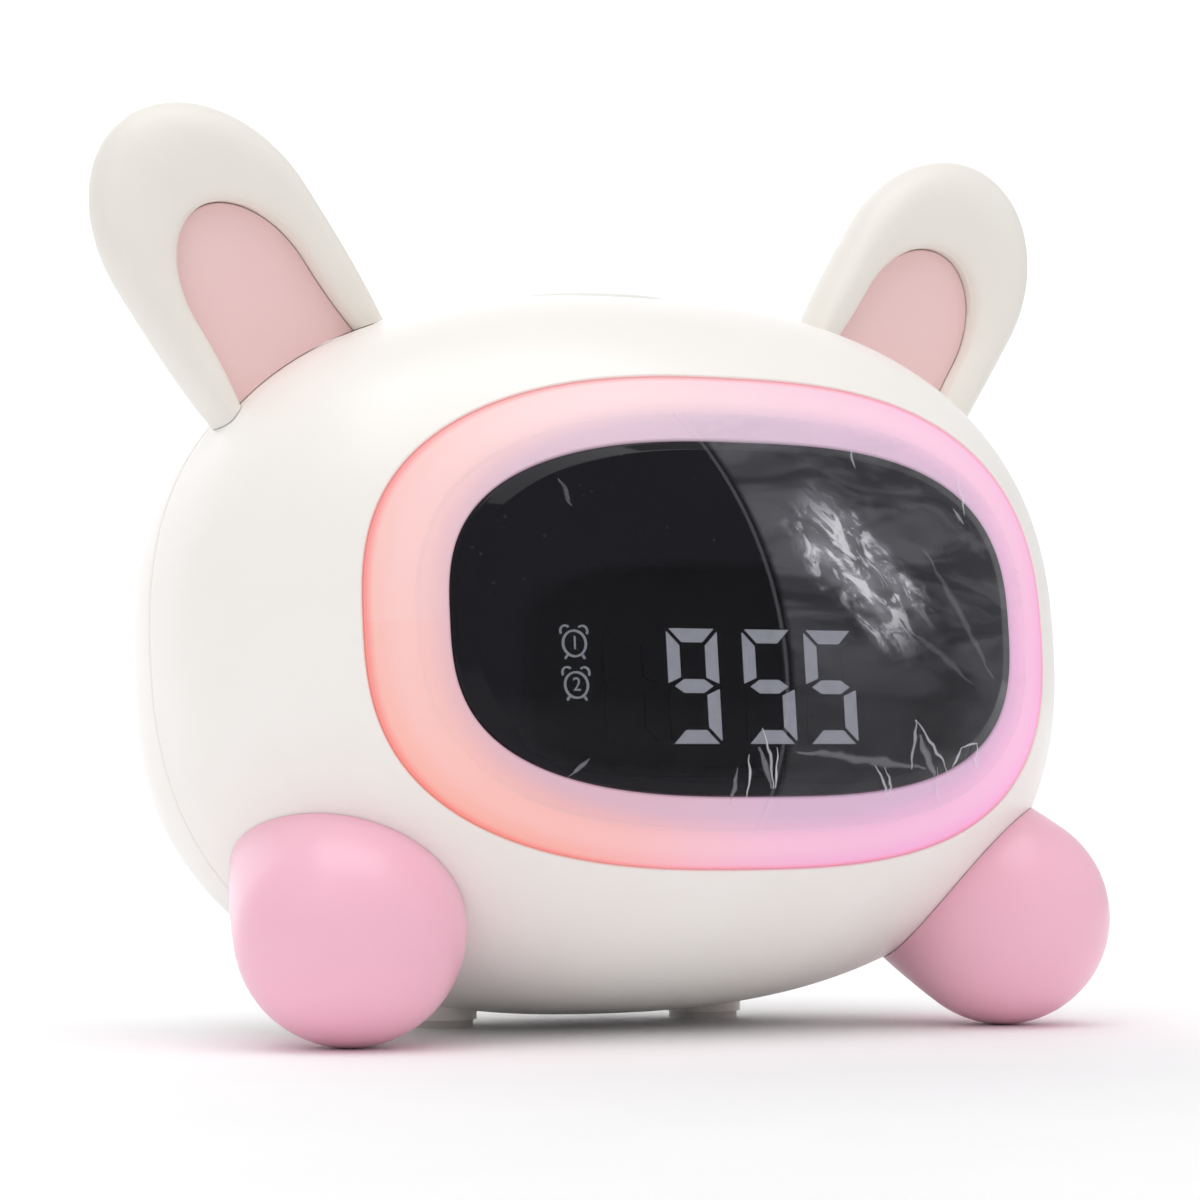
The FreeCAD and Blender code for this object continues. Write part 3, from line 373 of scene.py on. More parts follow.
def makeRing():
    outer = [windowShare(ray, ring) for ray in caseRays]
    inner = [windowShare(ray, lens, lens["gap"]) for ray in caseRays]
    loops = []
    for step in range(ring["rows"] + 1):
        loop = []
        for ray, far, near in zip(caseRays, outer, inner):
            share = far + (near - far) * step / ring["rows"]
            x, z = ray[0] * share, ray[1] * share
            loop.append(Vector((x, frontDepth(x, z), z)))
        loops.append(loop)
    loops = rolledEdge(loops, ring["innerEdge"], ring["depth"])
    loops = rolledEdge(loops[::-1], ring["edge"], ring["depth"])
    return loopPiece("glowRing", loops, wrap=True)


def lensRise(share):
    # height of the window over the case's surface, by the share of its outline
    bevel, lip = lens["bevelShare"], lens["lipShare"]
    if share <= bevel:
        return lens["proud"]
    if share <= lip:
        return lens["proud"] - (share - bevel) / (lip - bevel) * lens["bevelDrop"]
    fall = 1 - math.sqrt(max(0.0, 1 - ((share - lip) / lens["lip"]) ** 2))
    return lens["proud"] - lens["bevelDrop"] - fall * lens["lipDrop"]


lensOutline = [outlineSpot(a, lens["halfWidth"], lens["halfHeight"], lens["power"])
               for a in caseAngles]


def lensLoop(share, rise):
    loop = []
    for x, z in lensOutline:
        x, z = x * share, z * share + lens["centre"]
        loop.append(Vector((x, frontDepth(x, z, rise), z)))
    return loop


def makeLens():
    shares = spread(0.04, 0.925, 22) + [0.934, 0.9385, 0.9415, 0.946, 0.955, 0.965, 0.975, 0.984,
                                        0.988, 0.991, 0.994, 0.9965, 0.9985, 1.0]
    loops = [lensLoop(share, lensRise(share)) for share in shares]
    loops += [lensLoop(share, lens["skirt"]) for share in (1.0, lens["skirtShare"])]
    back = lens["proud"] - lens["thickness"]
    loops += [lensLoop(share, back) for share in spread(0.95, 0.04, 12)]
    front = Vector((0, -case["front"] - lens["proud"], lens["centre"]))
    rear = Vector((0, -case["front"] - back, lens["centre"]))
    return loopPiece("darkWindow", loops, front, rear, sharpAngle=50)


film = {"halfWidth": 52.6, "halfHeight": 31.2, "power": 2.7, "centre": -0.8, "overLens": 1.16,
        "overRing": 0.3, "wrinkle": 0.16, "wander": 0.018, "stepShare": 0.985, "stepWidth": 0.045}


def filmLoop(share):
    loop = []
    for angle in caseAngles:
        x, z = outlineSpot(angle, film["halfWidth"], film["halfHeight"], film["power"])
        reach = 1 + film["wander"] * noise.noise(Vector((math.cos(angle) * 2.2,
                                                        math.sin(angle) * 2.2, 4.0)))
        x, z = x * share * reach, z * share * reach + film["centre"]
        # the sheet steps down from the window onto the ring
        onLens = outlineReach(lens, x, z) ** (1 / lens["power"])
        blend = min(1.0, max(0.0, (onLens - film["stepShare"]) / film["stepWidth"]))
        blend = blend * blend * (3 - 2 * blend)
        ripple = noise.noise(Vector((x * 0.16, z * 0.16, 1.0)))
        ripple += 0.5 * abs(noise.noise(Vector((x * 0.45, z * 0.3, 7.0))))
        rise = film["overLens"] * (1 - blend) + film["overRing"] * blend
        rise += film["wrinkle"] * max(0.0, ripple) * (0.4 + 0.9 * blend)
        loop.append(Vector((x, frontDepth(x, z) - rise, z)))
    return loop


def makeFilm():
    loops = [filmLoop(share) for share in spread(0.03, 1.0, 64)]
    middle = Vector((0, frontDepth(0, film["centre"]) - film["overLens"], film["centre"]))
    return loopPiece("clearSheet", loops, middle, sharpAngle=0)


# Ears and feet, placed about the case's centre on the standing clock
ear = {"across": 48.0, "back": 2.2, "up": 37.35, "spread": 32.2, "leanBack": 3.5, "tail": 14.0,
       "length": 53.7, "halfWidth": 17.45, "shoulder": 31.6, "root": 14.5, "rootPower": 3.4,
       "bend": 1.4, "half": 5.4, "backPower": 2.5, "crown": 0.47, "lip": 0.58, "floor": 0.7,
       "middle": 0.42, "flatten": 1.1, "swell": 0.86, "lipShare": 0.985, "floorUp": 10}
panel = {"length": 36.3, "halfWidth": 10.5, "shoulder": 21.0, "root": 13.2, "rootPower": 2.1,
         "tail": 14.0, "gap": 0.15, "front": 1.65, "thickness": 0.9, "edge": 0.25, "middle": 12}
foot = {"across": 57.0, "forward": -29.5, "below": -41.1, "radius": 17.08, "tail": 52.0,
        "axis": (-0.25, 0.8, 0.45), "rows": 48, "around": 96}
limbGap = 0.12


def earPlace(side):
    turn = Matrix.Rotation(math.radians(side * ear["spread"]), 3, "Y")
    turn = turn @ Matrix.Rotation(math.radians(-ear["leanBack"]), 3, "X")
    base = Vector((side * ear["across"], ear["back"] + case["back"], ear["up"] + case["height"]))
    return lambda spot: (base + turn @ Vector(spot)) / 1000


def earLoop(side, shape, growth=0.0, sideCount=44, tipCount=52):
    # (across, up) corners of an ear's or a panel's outline, from its root round the tip
    length, halfWidth = shape["length"] + growth, shape["halfWidth"] + growth
    root, shoulder = shape["root"] + growth, shape["shoulder"]
    half = []
    for step in range(sideCount):
        up = -shape["tail"] + (shoulder + shape["tail"]) * step / sideCount
        fall = (1 - up / shoulder) ** shape["rootPower"]
        half.append((max(2.0, halfWidth - (halfWidth - root) * fall), up))
    tip = []
    for step in range(tipCount + 1):
        angle = math.pi * step / tipCount
        tip.append((halfWidth * math.cos(angle), shoulder + (length - shoulder) * math.sin(angle)))
    path = half + tip + [(-out, up) for out, up in reversed(half)]
    bend = ear["bend"] / ear["length"] ** 2
    return [(side * (out + bend * up * up), up) for out, up in path]


def makeEar(side, name):
    outline = earLoop(side, ear)
    pocket = earLoop(side, panel, panel["gap"])
    middle = Vector((0, ear["length"] * ear["middle"]))
    half, crown, power = ear["half"], ear["crown"], ear["backPower"]

    def between(share, depth):
        # a loop part of the way from the outline to the pocket
        return [Vector((o[0] + (p[0] - o[0]) * share, -depth, o[1] + (p[1] - o[1]) * share))
                for o, p in zip(outline, pocket)]

    loops = []
    for angle in quarter(14, 1):
        reach = (math.sin(angle) ** power + math.cos(angle) ** power) ** (-1 / power)
        share, depth = reach * math.sin(angle), reach * math.cos(angle) * half
        loops.append([Vector((middle.x + (o[0] - middle.x) * share, depth,
                              middle.y + (o[1] - middle.y) * share)) for o in outline])
    for angle in quarter(16, 1):
        loops.append(between(crown * (1 - math.cos(angle) ** ear["flatten"]),
                             half * math.sin(angle) ** ear["swell"]))
    for angle in quarter(8, 1):
        share = crown + (ear["lipShare"] - crown) * math.sin(angle)
        loops.append(between(share, half * (1 - (1 - ear["lip"]) * (1 - math.cos(angle)))))
    loops.append(between(1.0, half * ear["lip"] - 0.25))
    loops.append(between(1.0, ear["floor"] + 0.02))
    floorMiddle = Vector((0, -ear["floor"], ear["floorUp"]))
    for share in (0.7, 0.4, 0.1):
        loops.append([floorMiddle + (Vector((p[0], -ear["floor"], p[1])) - floorMiddle) * share
                      for p in pocket])
    return loopPiece(name, loops, (middle.x, half, middle.y), floorMiddle, place=earPlace(side))


def makePanel(side, name):
    outline = earLoop(side, panel)
    centre = Vector((0, 0, panel["middle"]))
    front, edge = panel["front"], panel["edge"]
    low = front - panel["thickness"] + 0.03

    def inset(share, depth):
        return [centre + (Vector((x, 0, z)) - centre) * share + Vector((0, -depth, 0))
                for x, z in outline]

    loops = [inset(share, low) for share in (0.1, 0.5, 0.9, 0.99)] + [inset(1.0, low + 0.05)]
    loops += [inset(1.0 - edge * (1 - math.cos(angle)) / 16, front - edge * (1 - math.sin(angle)))
              for angle in quarter(5)]
    loops += [inset(share, front) for share in (0.9, 0.7, 0.5, 0.3, 0.1)]
    return loopPiece(name, loops, centre + Vector((0, -low, 0)), centre + Vector((0, -front, 0)),
                     place=earPlace(side))


def makeFoot(side, name):
    radius, tail = foot["radius"], foot["tail"]
    direction = Vector((side * foot["axis"][0], foot["axis"][1], foot["axis"][2])).normalized()
    turn = Vector((0, 0, 1)).rotation_difference(direction).to_matrix()
    base = Vector((side * foot["across"], foot["forward"] + case["back"],
                   foot["below"] + case["height"]))
    loops = []
    for step in range(1, foot["rows"]):
        angle = math.pi * step / foot["rows"]
        out = radius * math.sin(angle)
        along = -(radius if angle < math.pi / 2 else tail) * math.cos(angle)
        loops.append([Vector((out * math.cos(a), out * math.sin(a), along))
                      for a in turns(foot["around"])])
    return loopPiece(name, loops, (0, 0, -radius), (0, 0, tail),
                     place=lambda spot: (base + turn @ Vector(spot)) / 1000)


def topHeight(x, y, growth):
    power, profile = case["outlinePower"], case["profilePower"]
    depth = (case["rear"] if y > 0 else case["front"]) + growth
    out = (1 - (abs(y) / depth) ** profile) ** (1 / profile)
    width, height = (case["halfWidth"] + growth) * out, (case["halfHeight"] + growth) * out
    return height * (1 - (abs(x) / width) ** power) ** (1 / power)


def makeButton():
    radius, edge, skirt = topButton["radius"], topButton["edge"], topButton["skirt"]
    inside = radius - topButton["wall"]
    rows = [(radius * 0.12 * step, 0.0) for step in range(1, 8)] + [(radius - edge, 0.0)]
    rows += [(radius - edge + edge * math.sin(angle), edge * (1 - math.cos(angle)))
             for angle in quarter(6, 1)]
    rows += [(radius, skirt), (inside, skirt), (inside, topButton["innerRim"])]
    loops = []
    for out, drop in rows:
        loop = []
        for angle in turns(topButton["around"]):
            x, y = out * math.cos(angle), case["seam"] + out * math.sin(angle)
            loop.append(Vector((x, y, topHeight(x, y, topButton["proud"]) - drop)))
        loops.append(loop)
    top = Vector((0, case["seam"], topHeight(0, case["seam"], topButton["proud"])))
    return loopPiece("pressCap", loops, top, top - Vector((0, 0, topButton["roof"])))


def makeKey(x, name):
    radius, edge, z = keys["radius"], keys["edge"], keys["up"]
    crown = rearDepth(x, z) + keys["proud"]
    rows = list(keys["dish"])
    rows += [(radius - edge + edge * math.sin(angle), -edge * (1 - math.cos(angle)))
             for angle in quarter(6)]
    rows.append((radius, -keys["depth"]))
    loops = [circleLoop(x, crown + rise, z, out, 64) for out, rise in rows]
    return loopPiece(name, loops, (x, crown - keys["hollow"], z), (x, crown - keys["depth"], z))


port = {"halfWidth": 4.4, "halfHeight": 1.55, "wall": 0.32, "power": 4.5, "back": 48.6,
        "front": 41.0, "floor": 0.6, "edge": 0.08,
        "tongue": {"halfWidth": 3.2, "halfHeight": 0.35, "power": 6}}


def makePort():
    def band(grow, y):
        return [Vector((x, y, z + socket["up"])) for x, z in
                (outlineSpot(a, port["halfWidth"] - grow, port["halfHeight"] - grow, port["power"])
                 for a in turns(64))]

    wall, back, front, edge = port["wall"], port["back"], port["front"], port["edge"]
    floor, tongue = front + port["floor"], port["tongue"]
    loops = [band(0, front), band(0, back - 0.1), band(edge, back), band(wall - edge, back),
             band(wall, back - 0.1), band(wall, floor)]
    shell = loopPiece("chargePort", loops, (0, front, socket["up"]), (0, floor, socket["up"]))
    mergeInto(shell, casePiece("tongue", [outlineRod(
        tongue["halfWidth"], tongue["halfHeight"], tongue["power"], socket["up"],
        (front + 0.4, back - 1.0))]))
    return shell


caseCut = caseSolid("caseCut", limbGap)
made = {"front_shell": makeFrontShell(), "rear_shell": makeRearShell()}
print("shells made")
made["light_ring"] = makeRing()
made["display_lens"] = makeLens()
made["lens_film"] = makeFilm()
print("ring, window and clear sheet made")
for side, word in ((-1, "left"), (1, "right")):
    made[word + "_ear"] = makeEar(side, word + "Ear")
    made[word + "_ear_panel"] = makePanel(side, word + "EarPanel")
    made[word + "_foot"] = makeFoot(side, word + "Foot")
    for kind in ("_ear", "_ear_panel", "_foot"):
        cutPiece(made[word + kind], caseCut)
dropPiece(caseCut)
print("ears and feet made")
made["top_button"] = makeButton()
for x, word in zip(keyAcross, keys["names"]):
    made["rear_key_" + word] = makeKey(x, "key" + word.title().replace("_", ""))
made["charging_socket"] = makePort()
print("button, keys and port made")

digits = {"width": 8.6, "height": 17.3, "pitch": 10.84, "hourGap": 13.04, "centre": -0.3,
          "up": -9.84, "bar": 2.05, "gap": 0.72, "point": 0.95, "front": -42.28, "back": -42.0}
signs = {"across": -26.7, "upper": -3.67, "lower": -9.83, "radius": 2.05, "line": 0.3,
         "bell": 0.95, "bellOut": 0.28, "bellTurns": (128, 52), "bellSweep": 82,
         "legTurns": (234, 306), "legs": (0.1, 0.75), "size": 2.9, "relief": 0.04}


def plate(corners):
    # a flat plate behind the window from (across, up) corners
    return capped(*([Vector((x, y, z)) for x, z in corners]
                    for y in (digits["front"], digits["back"])))


def digitBars(middle, shown):
    # trapezoid bars that meet on the diagonals, and a pointed middle bar
    wide, high, bar = digits["width"] / 2, digits["height"] / 2, digits["bar"]
    step, point = digits["gap"] * 0.7, digits["point"]
    inner, tall = wide - bar, high - bar
    tip, flat = wide - point - 0.1, inner + 0.35 - point
    upright = [(wide, high - step), (wide, step * 0.9), (inner, step * 0.9 + bar * 0.42),
               (inner, tall - step)]
    shapes = {
        "a": [(step - wide, high), (wide - step, high), (inner - step, tall),
              (step - inner, tall)],
        "b": upright,
        "g": [(-tip, 0), (-flat, bar / 2), (flat, bar / 2), (tip, 0), (flat, -bar / 2),
              (-flat, -bar / 2)]}
    shapes["d"] = [(x, -z) for x, z in shapes["a"]]
    shapes["c"] = [(x, -z) for x, z in upright]
    shapes["f"] = [(-x, z) for x, z in upright]
    shapes["e"] = [(-x, -z) for x, z in upright]
    return [plate([(x + middle, z + digits["up"]) for x, z in corners])
            for letter, corners in shapes.items() if letter in shown]


def makeDigits():
    lit, dark = [], []
    near = digits["hourGap"] / 2
    far = near + digits["pitch"]
    for place, shown in ((-far, ""), (-near, "abcdfg"), (near, "acdfg"), (far, "acdfg")):
        middle = place + digits["centre"]
        lit += digitBars(middle, shown)
        dark += digitBars(middle, "".join(letter for letter in "abcdefg" if letter not in shown))
    return casePiece("litDigits", lit), casePiece("darkDigits", dark)


def arcBand(centre, radius, line, start, end, steps=32):
    angles = [math.radians(start + (end - start) * step / steps) for step in range(steps + 1)]
    outer = [(centre[0] + radius * math.cos(a), centre[1] + radius * math.sin(a)) for a in angles]
    inner = [(centre[0] + (radius - line) * math.cos(a), centre[1] + (radius - line) * math.sin(a))
             for a in reversed(angles)]
    return outer + inner


def makeSigns():
    # two small alarm clocks: rim, two bells and two legs
    plates = []
    radius, line = signs["radius"], signs["line"]
    for height in (signs["upper"], signs["lower"]):
        middle = (signs["across"], height)
        plates += [plate(arcBand(middle, radius, line, start, start + 180)) for start in (0, 180)]
        for turn in signs["bellTurns"]:
            angle = math.radians(turn)
            reach = radius + signs["bellOut"]
            bell = (middle[0] + reach * math.cos(angle), middle[1] + reach * math.sin(angle))
            plates.append(plate(arcBand(bell, signs["bell"], line * 0.9, turn - signs["bellSweep"],
                                        turn + signs["bellSweep"], 20)))
        for turn in signs["legTurns"]:
            angle = math.radians(turn)
            side = Vector((math.cos(angle), math.sin(angle)))
            flat = Vector((-side.y, side.x)) * line / 2
            near, far = (side * (radius + reach) for reach in signs["legs"])
            plates.append(plate([(middle[0] + c.x, middle[1] + c.y) for c in
                                 (near + flat, far + flat, far - flat, near - flat)]))
    return casePiece("alarmSigns", plates)


made["lit_segments"], made["dark_segments"] = makeDigits()
made["alarm_signs"] = makeSigns()


def makeNumeral(text, height):
    letters = bpy.data.curves.new("signNumeral" + text, "FONT")
    letters.body = text
    letters.size = signs["size"] / 1000
    letters.extrude = signs["relief"] / 1000
    letters.align_x = "CENTER"
    letters.align_y = "CENTER"
    piece = bpy.data.objects.new("signNumeral" + text, letters)
    piece.location = standing((signs["across"], digits["front"], height))
    piece.rotation_euler = (math.radians(90 - case["lean"]), 0, 0)
    bpy.context.collection.objects.link(piece)
    return piece


numerals = [makeNumeral("1", signs["upper"]), makeNumeral("2", signs["lower"])]


# Nodes: each input takes a socket, which is linked, or a value, which is set

def feed(tree, node, inlets):
    for label, value in inlets.items():
        if isinstance(value, bpy.types.NodeSocket):
            tree.links.new(value, node.inputs[label])
        else:
            node.inputs[label].default_value = value


def addNode(tree, kind, inlets, outlet=0, **settings):
    node = tree.nodes.new("ShaderNode" + kind)
    for label, value in settings.items():
        setattr(node, label, value)
    feed(tree, node, inlets)
    return node.outputs[outlet]


def mathNode(tree, operation, *values, clamp=False):
    return addNode(tree, "Math", dict(enumerate(values)), operation=operation, use_clamp=clamp)


def vectorNode(tree, operation, *values, outlet=0):
    return addNode(tree, "VectorMath", dict(enumerate(values)), outlet, operation=operation)


def mixNode(tree, factor, first, second, blend="MIX"):
    return addNode(tree, "Mix", {0: factor, 6: first, 7: second}, 2, data_type="RGBA",
                   blend_type=blend)


def spanNode(tree, value, low, high, toLow=0.0, toHigh=1.0):
    return addNode(tree, "MapRange", dict(enumerate((value, low, high, toLow, toHigh))),
                   interpolation_type="SMOOTHSTEP")


def noiseNode(tree, vector, scale, detail=3.0, roughness=0.5, distortion=0.0, outlet="Fac"):
    return addNode(tree, "TexNoise", {"Vector": vector, "Scale": scale, "Detail": detail,
                                      "Roughness": roughness, "Distortion": distortion}, outlet)


def newGroup(name, inputs, outputs):
    group = bpy.data.node_groups.new(name, "ShaderNodeTree")
    for label, kind, value in inputs:
        inlet = group.interface.new_socket(label, in_out="INPUT", socket_type="NodeSocket" + kind)
        if value is not None:
            inlet.default_value = value
    for label, kind in outputs:
        group.interface.new_socket(label, in_out="OUTPUT", socket_type="NodeSocket" + kind)
    return group, group.nodes.new("NodeGroupInput").outputs, group.nodes.new("NodeGroupOutput")


def useGroup(tree, group, **values):
    node = tree.nodes.new("ShaderNodeGroup")
    node.node_tree = group
    feed(tree, node, {label.replace("_", " "): value for label, value in values.items()})
    return node.outputs


def casePlace():
    # the place on the clock in the case's own frame, in millimetres
    group, _, out = newGroup("casePlace", [], [("Place", "Vector")])
    place = addNode(group, "Mapping", {
        "Vector": addNode(group, "TexCoord", {}, "Object"),
        "Location": (0, case["back"] / 1000, case["height"] / 1000),
        "Rotation": (math.radians(-case["lean"]), 0, 0),
        "Scale": (0.001, 0.001, 0.001)}, vector_type="TEXTURE")
    feed(group, out, {"Place": place})
    return group


def mouldedSkin():
    # slow drift of tone, faint flow marks, and a fine orange-peel height
    group, given, out = newGroup(
        "mouldedSkin",
        [("Color", "Color", (0.8, 0.8, 0.8, 1)), ("Shade", "Color", (0.7, 0.7, 0.7, 1)),
         ("Drift", "Float", 0.25), ("Peel Size", "Float", 1400.0), ("Roughness", "Float", 0.35),
         ("Unevenness", "Float", 0.08)],
        [("Color", "Color"), ("Roughness", "Float"), ("Height", "Float")])
    coordinates = addNode(group, "TexCoord", {}, "Object")
    broad = spanNode(group, noiseNode(group, coordinates, 34.0, 2.0), 0.35, 0.7)
    flow = noiseNode(group, coordinates, 110.0, 4.0, 0.6, 0.8)
    peel = noiseNode(group, coordinates, given["Peel Size"], 2.0, 0.45)
    drift = mathNode(group, "MULTIPLY", broad, given["Drift"])
    swing = mathNode(group, "SUBTRACT", flow, 0.5)
    feed(group, out, {
        "Color": mixNode(group, drift, given["Color"], given["Shade"]),
        "Roughness": mathNode(group, "MULTIPLY_ADD", swing, given["Unevenness"],
                              given["Roughness"], clamp=True),
        "Height": mathNode(group, "MULTIPLY_ADD", flow, 0.35, peel)})
    return group


def fineDust():
    # tiny scattered specks, as a mask
    group, given, out = newGroup("fineDust", [("Size", "Float", 900.0), ("Amount", "Float", 0.3)],
                                 [("Mask", "Float")])
    coordinates = addNode(group, "TexCoord", {}, "Object")
    cells = addNode(group, "TexVoronoi", {"Vector": coordinates, "Scale": given["Size"]},
                    "Distance")
    dots = spanNode(group, cells, 0.10, 0.2, 1.0, 0.0)
    sparse = spanNode(group, noiseNode(group, coordinates, 260.0, 2.0), 0.56, 0.68)
    product = mathNode(group, "MULTIPLY", dots, sparse)
    feed(group, out, {"Mask": mathNode(group, "MULTIPLY", product, given["Amount"])})
    return group


def foldHighlightStroke():
    # a soft stroke between two spots, thinner at its ends, for the painted fold highlights
    group, given, out = newGroup(
        "foldHighlightStroke", [("Place", "Vector", None), ("Start", "Vector", None),
                       ("Way", "Vector", None), ("Half Width", "Float", 0.3)], [("Mask", "Float")])
    way = given["Way"]
    offset = vectorNode(group, "SUBTRACT", given["Place"], given["Start"])
    dots = [vectorNode(group, "DOT_PRODUCT", first, way, outlet="Value")
            for first in (offset, way)]
    share = mathNode(group, "DIVIDE", *dots, clamp=True)
    nearest = addNode(group, "VectorMath", {0: way, "Scale": share}, operation="SCALE")
    apart = vectorNode(group, "DISTANCE", offset, nearest, outlet="Value")
    ends = mathNode(group, "ABSOLUTE", mathNode(group, "MULTIPLY_ADD", share, 2.0, -1.0))
    reach = mathNode(group, "MULTIPLY", given["Half Width"],
                     spanNode(group, ends, 0.2, 1.0, 1.0, 0.35))
    near = mathNode(group, "DIVIDE", apart, reach)
    feed(group, out, {"Mask": spanNode(group, near, 0.25, 1.0, 1.0, 0.0)})
    return group


placeGroup, skinGroup = casePlace(), mouldedSkin()
dustGroup, strokeGroup = fineDust(), foldHighlightStroke()
reliefDepth = 0.0004


def newMaterial(name):
    material = bpy.data.materials.new(name)
    material.use_nodes = True
    tree = material.node_tree
    tree.nodes.clear()
    shader = tree.nodes.new("ShaderNodeBsdfPrincipled")
    out = tree.nodes.new("ShaderNodeOutputMaterial")
    tree.links.new(shader.outputs["BSDF"], out.inputs["Surface"])
    return material, tree, shader


def addRelief(tree, shader, height, strength):
    feed(tree, shader, {"Normal": addNode(tree, "Bump", {
        "Strength": strength, "Distance": reliefDepth, "Height": height})})


def casePlaceAxes(tree):
    # the place, and how far across and up it is
    place = useGroup(tree, placeGroup)["Place"]
    return (place, addNode(tree, "SeparateXYZ", {0: place}, "X"),
            addNode(tree, "SeparateXYZ", {0: place}, "Z"))


def outlineNodes(tree, across, up, window, power):
    # below 1 inside a rounded outline, above 1 outside it
    total = 0.0
    for value, reach in ((across, window["halfWidth"]), (up, window["halfHeight"])):
        share = mathNode(tree, "DIVIDE", mathNode(tree, "ABSOLUTE", value), reach)
        total = mathNode(tree, "ADD", mathNode(tree, "POWER", share, power), total)
    return total


def paint(red, green, blue):
    # a colour given on the usual 0 to 255 scale, made linear
    return tuple((value / 255 / 12.92 if value <= 10.3 else ((value / 255 + 0.055) / 1.055) ** 2.4)
                 for value in (red, green, blue)) + (1.0,)


def plastic(name, color, shade, rough, drift, peel, bump, uneven=0.08, coat=0.0, metallic=0.0,
            shine=0.0):
    material, tree, shader = newMaterial(name)
    skin = useGroup(tree, skinGroup, Color=paint(*color), Shade=paint(*shade), Drift=drift,
                    Peel_Size=peel, Roughness=rough, Unevenness=uneven)
    feed(tree, shader, {"Base Color": skin["Color"], "Roughness": skin["Roughness"],
                        "Metallic": metallic, "Coat Weight": coat, "Coat Roughness": 0.12})
    addRelief(tree, shader, skin["Height"], bump)
    if shine:
        feed(tree, shader, {"Emission Color": skin["Color"], "Emission Strength": shine})
    return material


# hues round the ring from its left end, anticlockwise seen from the front
glow = {"strength": 0.42, "paint": 0.62, "centre": -0.5, "stops": (
    (0.00, (250, 196, 190)), (0.07, (252, 182, 168)), (0.14, (253, 178, 166)),
    (0.21, (252, 190, 206)), (0.28, (250, 184, 220)), (0.37, (249, 178, 222)),
    (0.45, (251, 176, 224)), (0.52, (252, 184, 226)), (0.60, (251, 198, 226)),
    (0.68, (249, 206, 224)), (0.77, (244, 214, 222)), (0.86, (248, 212, 212)),
    (0.94, (250, 204, 200)), (1.00, (250, 196, 190)))}


def ringHues(tree, across, up):
    dial = addNode(tree, "TexGradient", {
        "Vector": addNode(tree, "CombineXYZ", {"X": across, "Y": up})}, "Fac",
        gradient_type="RADIAL")
    hues = tree.nodes.new("ShaderNodeValToRGB")
    feed(tree, hues, {"Fac": dial})
    ramp = hues.color_ramp
    ramp.interpolation = "B_SPLINE"
    while len(ramp.elements) > 1:
        ramp.elements.remove(ramp.elements[-1])
    ramp.elements[0].position = glow["stops"][0][0]
    ramp.elements[0].color = paint(*glow["stops"][0][1])
    for position, color in glow["stops"][1:]:
        ramp.elements.new(position).color = paint(*color)
    return hues.outputs["Color"]


def ringMaterial():
    # lit from within: paler along the middle, greyer by the window, deeper at the rim
    material, tree, shader = newMaterial("glowingDiffuser")
    _, across, height = casePlaceAxes(tree)
    up = mathNode(tree, "SUBTRACT", height, glow["centre"])
    hues = ringHues(tree, across, up)
    reach = outlineNodes(tree, across, up, ring, ring["power"])
    band = mathNode(tree, "POWER", reach, 1 / ring["power"])
    core = mathNode(tree, "MULTIPLY", spanNode(tree, band, 0.80, 0.90),
                    spanNode(tree, band, 0.98, 0.92))
    inner = spanNode(tree, band, 0.78, 0.90, 1.0, 0.0)
    rim = spanNode(tree, band, 0.975, 1.0)
    deep = mixNode(tree, 1.0, hues, paint(255, 182, 186), "MULTIPLY")
    soft = hues
    for mask, amount, color in ((core, 0.25, paint(255, 224, 230)),
                                (inner, 0.7, paint(208, 184, 208)), (rim, 0.9, deep)):
        soft = mixNode(tree, mathNode(tree, "MULTIPLY", mask, amount), soft, color)
    dull = mixNode(tree, 1.0, soft, (glow["paint"], glow["paint"], glow["paint"], 1), "MULTIPLY")
    skin = useGroup(tree, skinGroup, Roughness=0.32, Unevenness=0.10, Peel_Size=1200.0)
    feed(tree, shader, {"Base Color": dull, "Emission Color": soft,
                        "Emission Strength": glow["strength"], "Roughness": skin["Roughness"]})
    addRelief(tree, shader, skin["Height"], 0.02)
    return material


smoke = {"across": -1.0, "up": -8.5, "halfWidth": 37.0, "halfHeight": 15.0, "power": 4.0,
         "clear": 0.42}


def windowMaterial():
    # nearly black, and clearer only over the digits and signs
    material, tree, shader = newMaterial("smokedWindow")
    skin = useGroup(tree, skinGroup, Color=(0.006, 0.006, 0.009, 1),
                    Shade=(0.011, 0.011, 0.015, 1), Roughness=0.06, Unevenness=0.03,
                    Peel_Size=900.0)
    dust = useGroup(tree, dustGroup, Size=620.0, Amount=0.10)["Mask"]
    _, across, up = casePlaceAxes(tree)
    reach = outlineNodes(tree, mathNode(tree, "SUBTRACT", across, smoke["across"]),
                         mathNode(tree, "SUBTRACT", up, smoke["up"]), smoke, smoke["power"])
    feed(tree, shader, {
        "Base Color": mixNode(tree, dust, skin["Color"], (0.2, 0.2, 0.23, 1)),
        "Roughness": skin["Roughness"], "Specular IOR Level": 0.16,
        "Alpha": spanNode(tree, reach, 0.6, 1.4, smoke["clear"], 1.0)})
    return material


# weights of the sheet's lifted haze with its painted reflection (cloud, smoke), its painted
# highlights (streak, line, fold) and its edge
haze = {"cloud": 0.04, "smoke": 0.10, "streak": 0.62, "line": 0.10, "edge": 0.10, "fold": 0.8,
        "lineAt": 2.4, "lineBend": 0.0076, "lineFoot": 12.0, "streakAt": (16.4, 6.3),
        "streakTurn": 45.0, "streakHalfLength": 17.0, "streakHalfWidth": 7.0, "sway": 1.6}
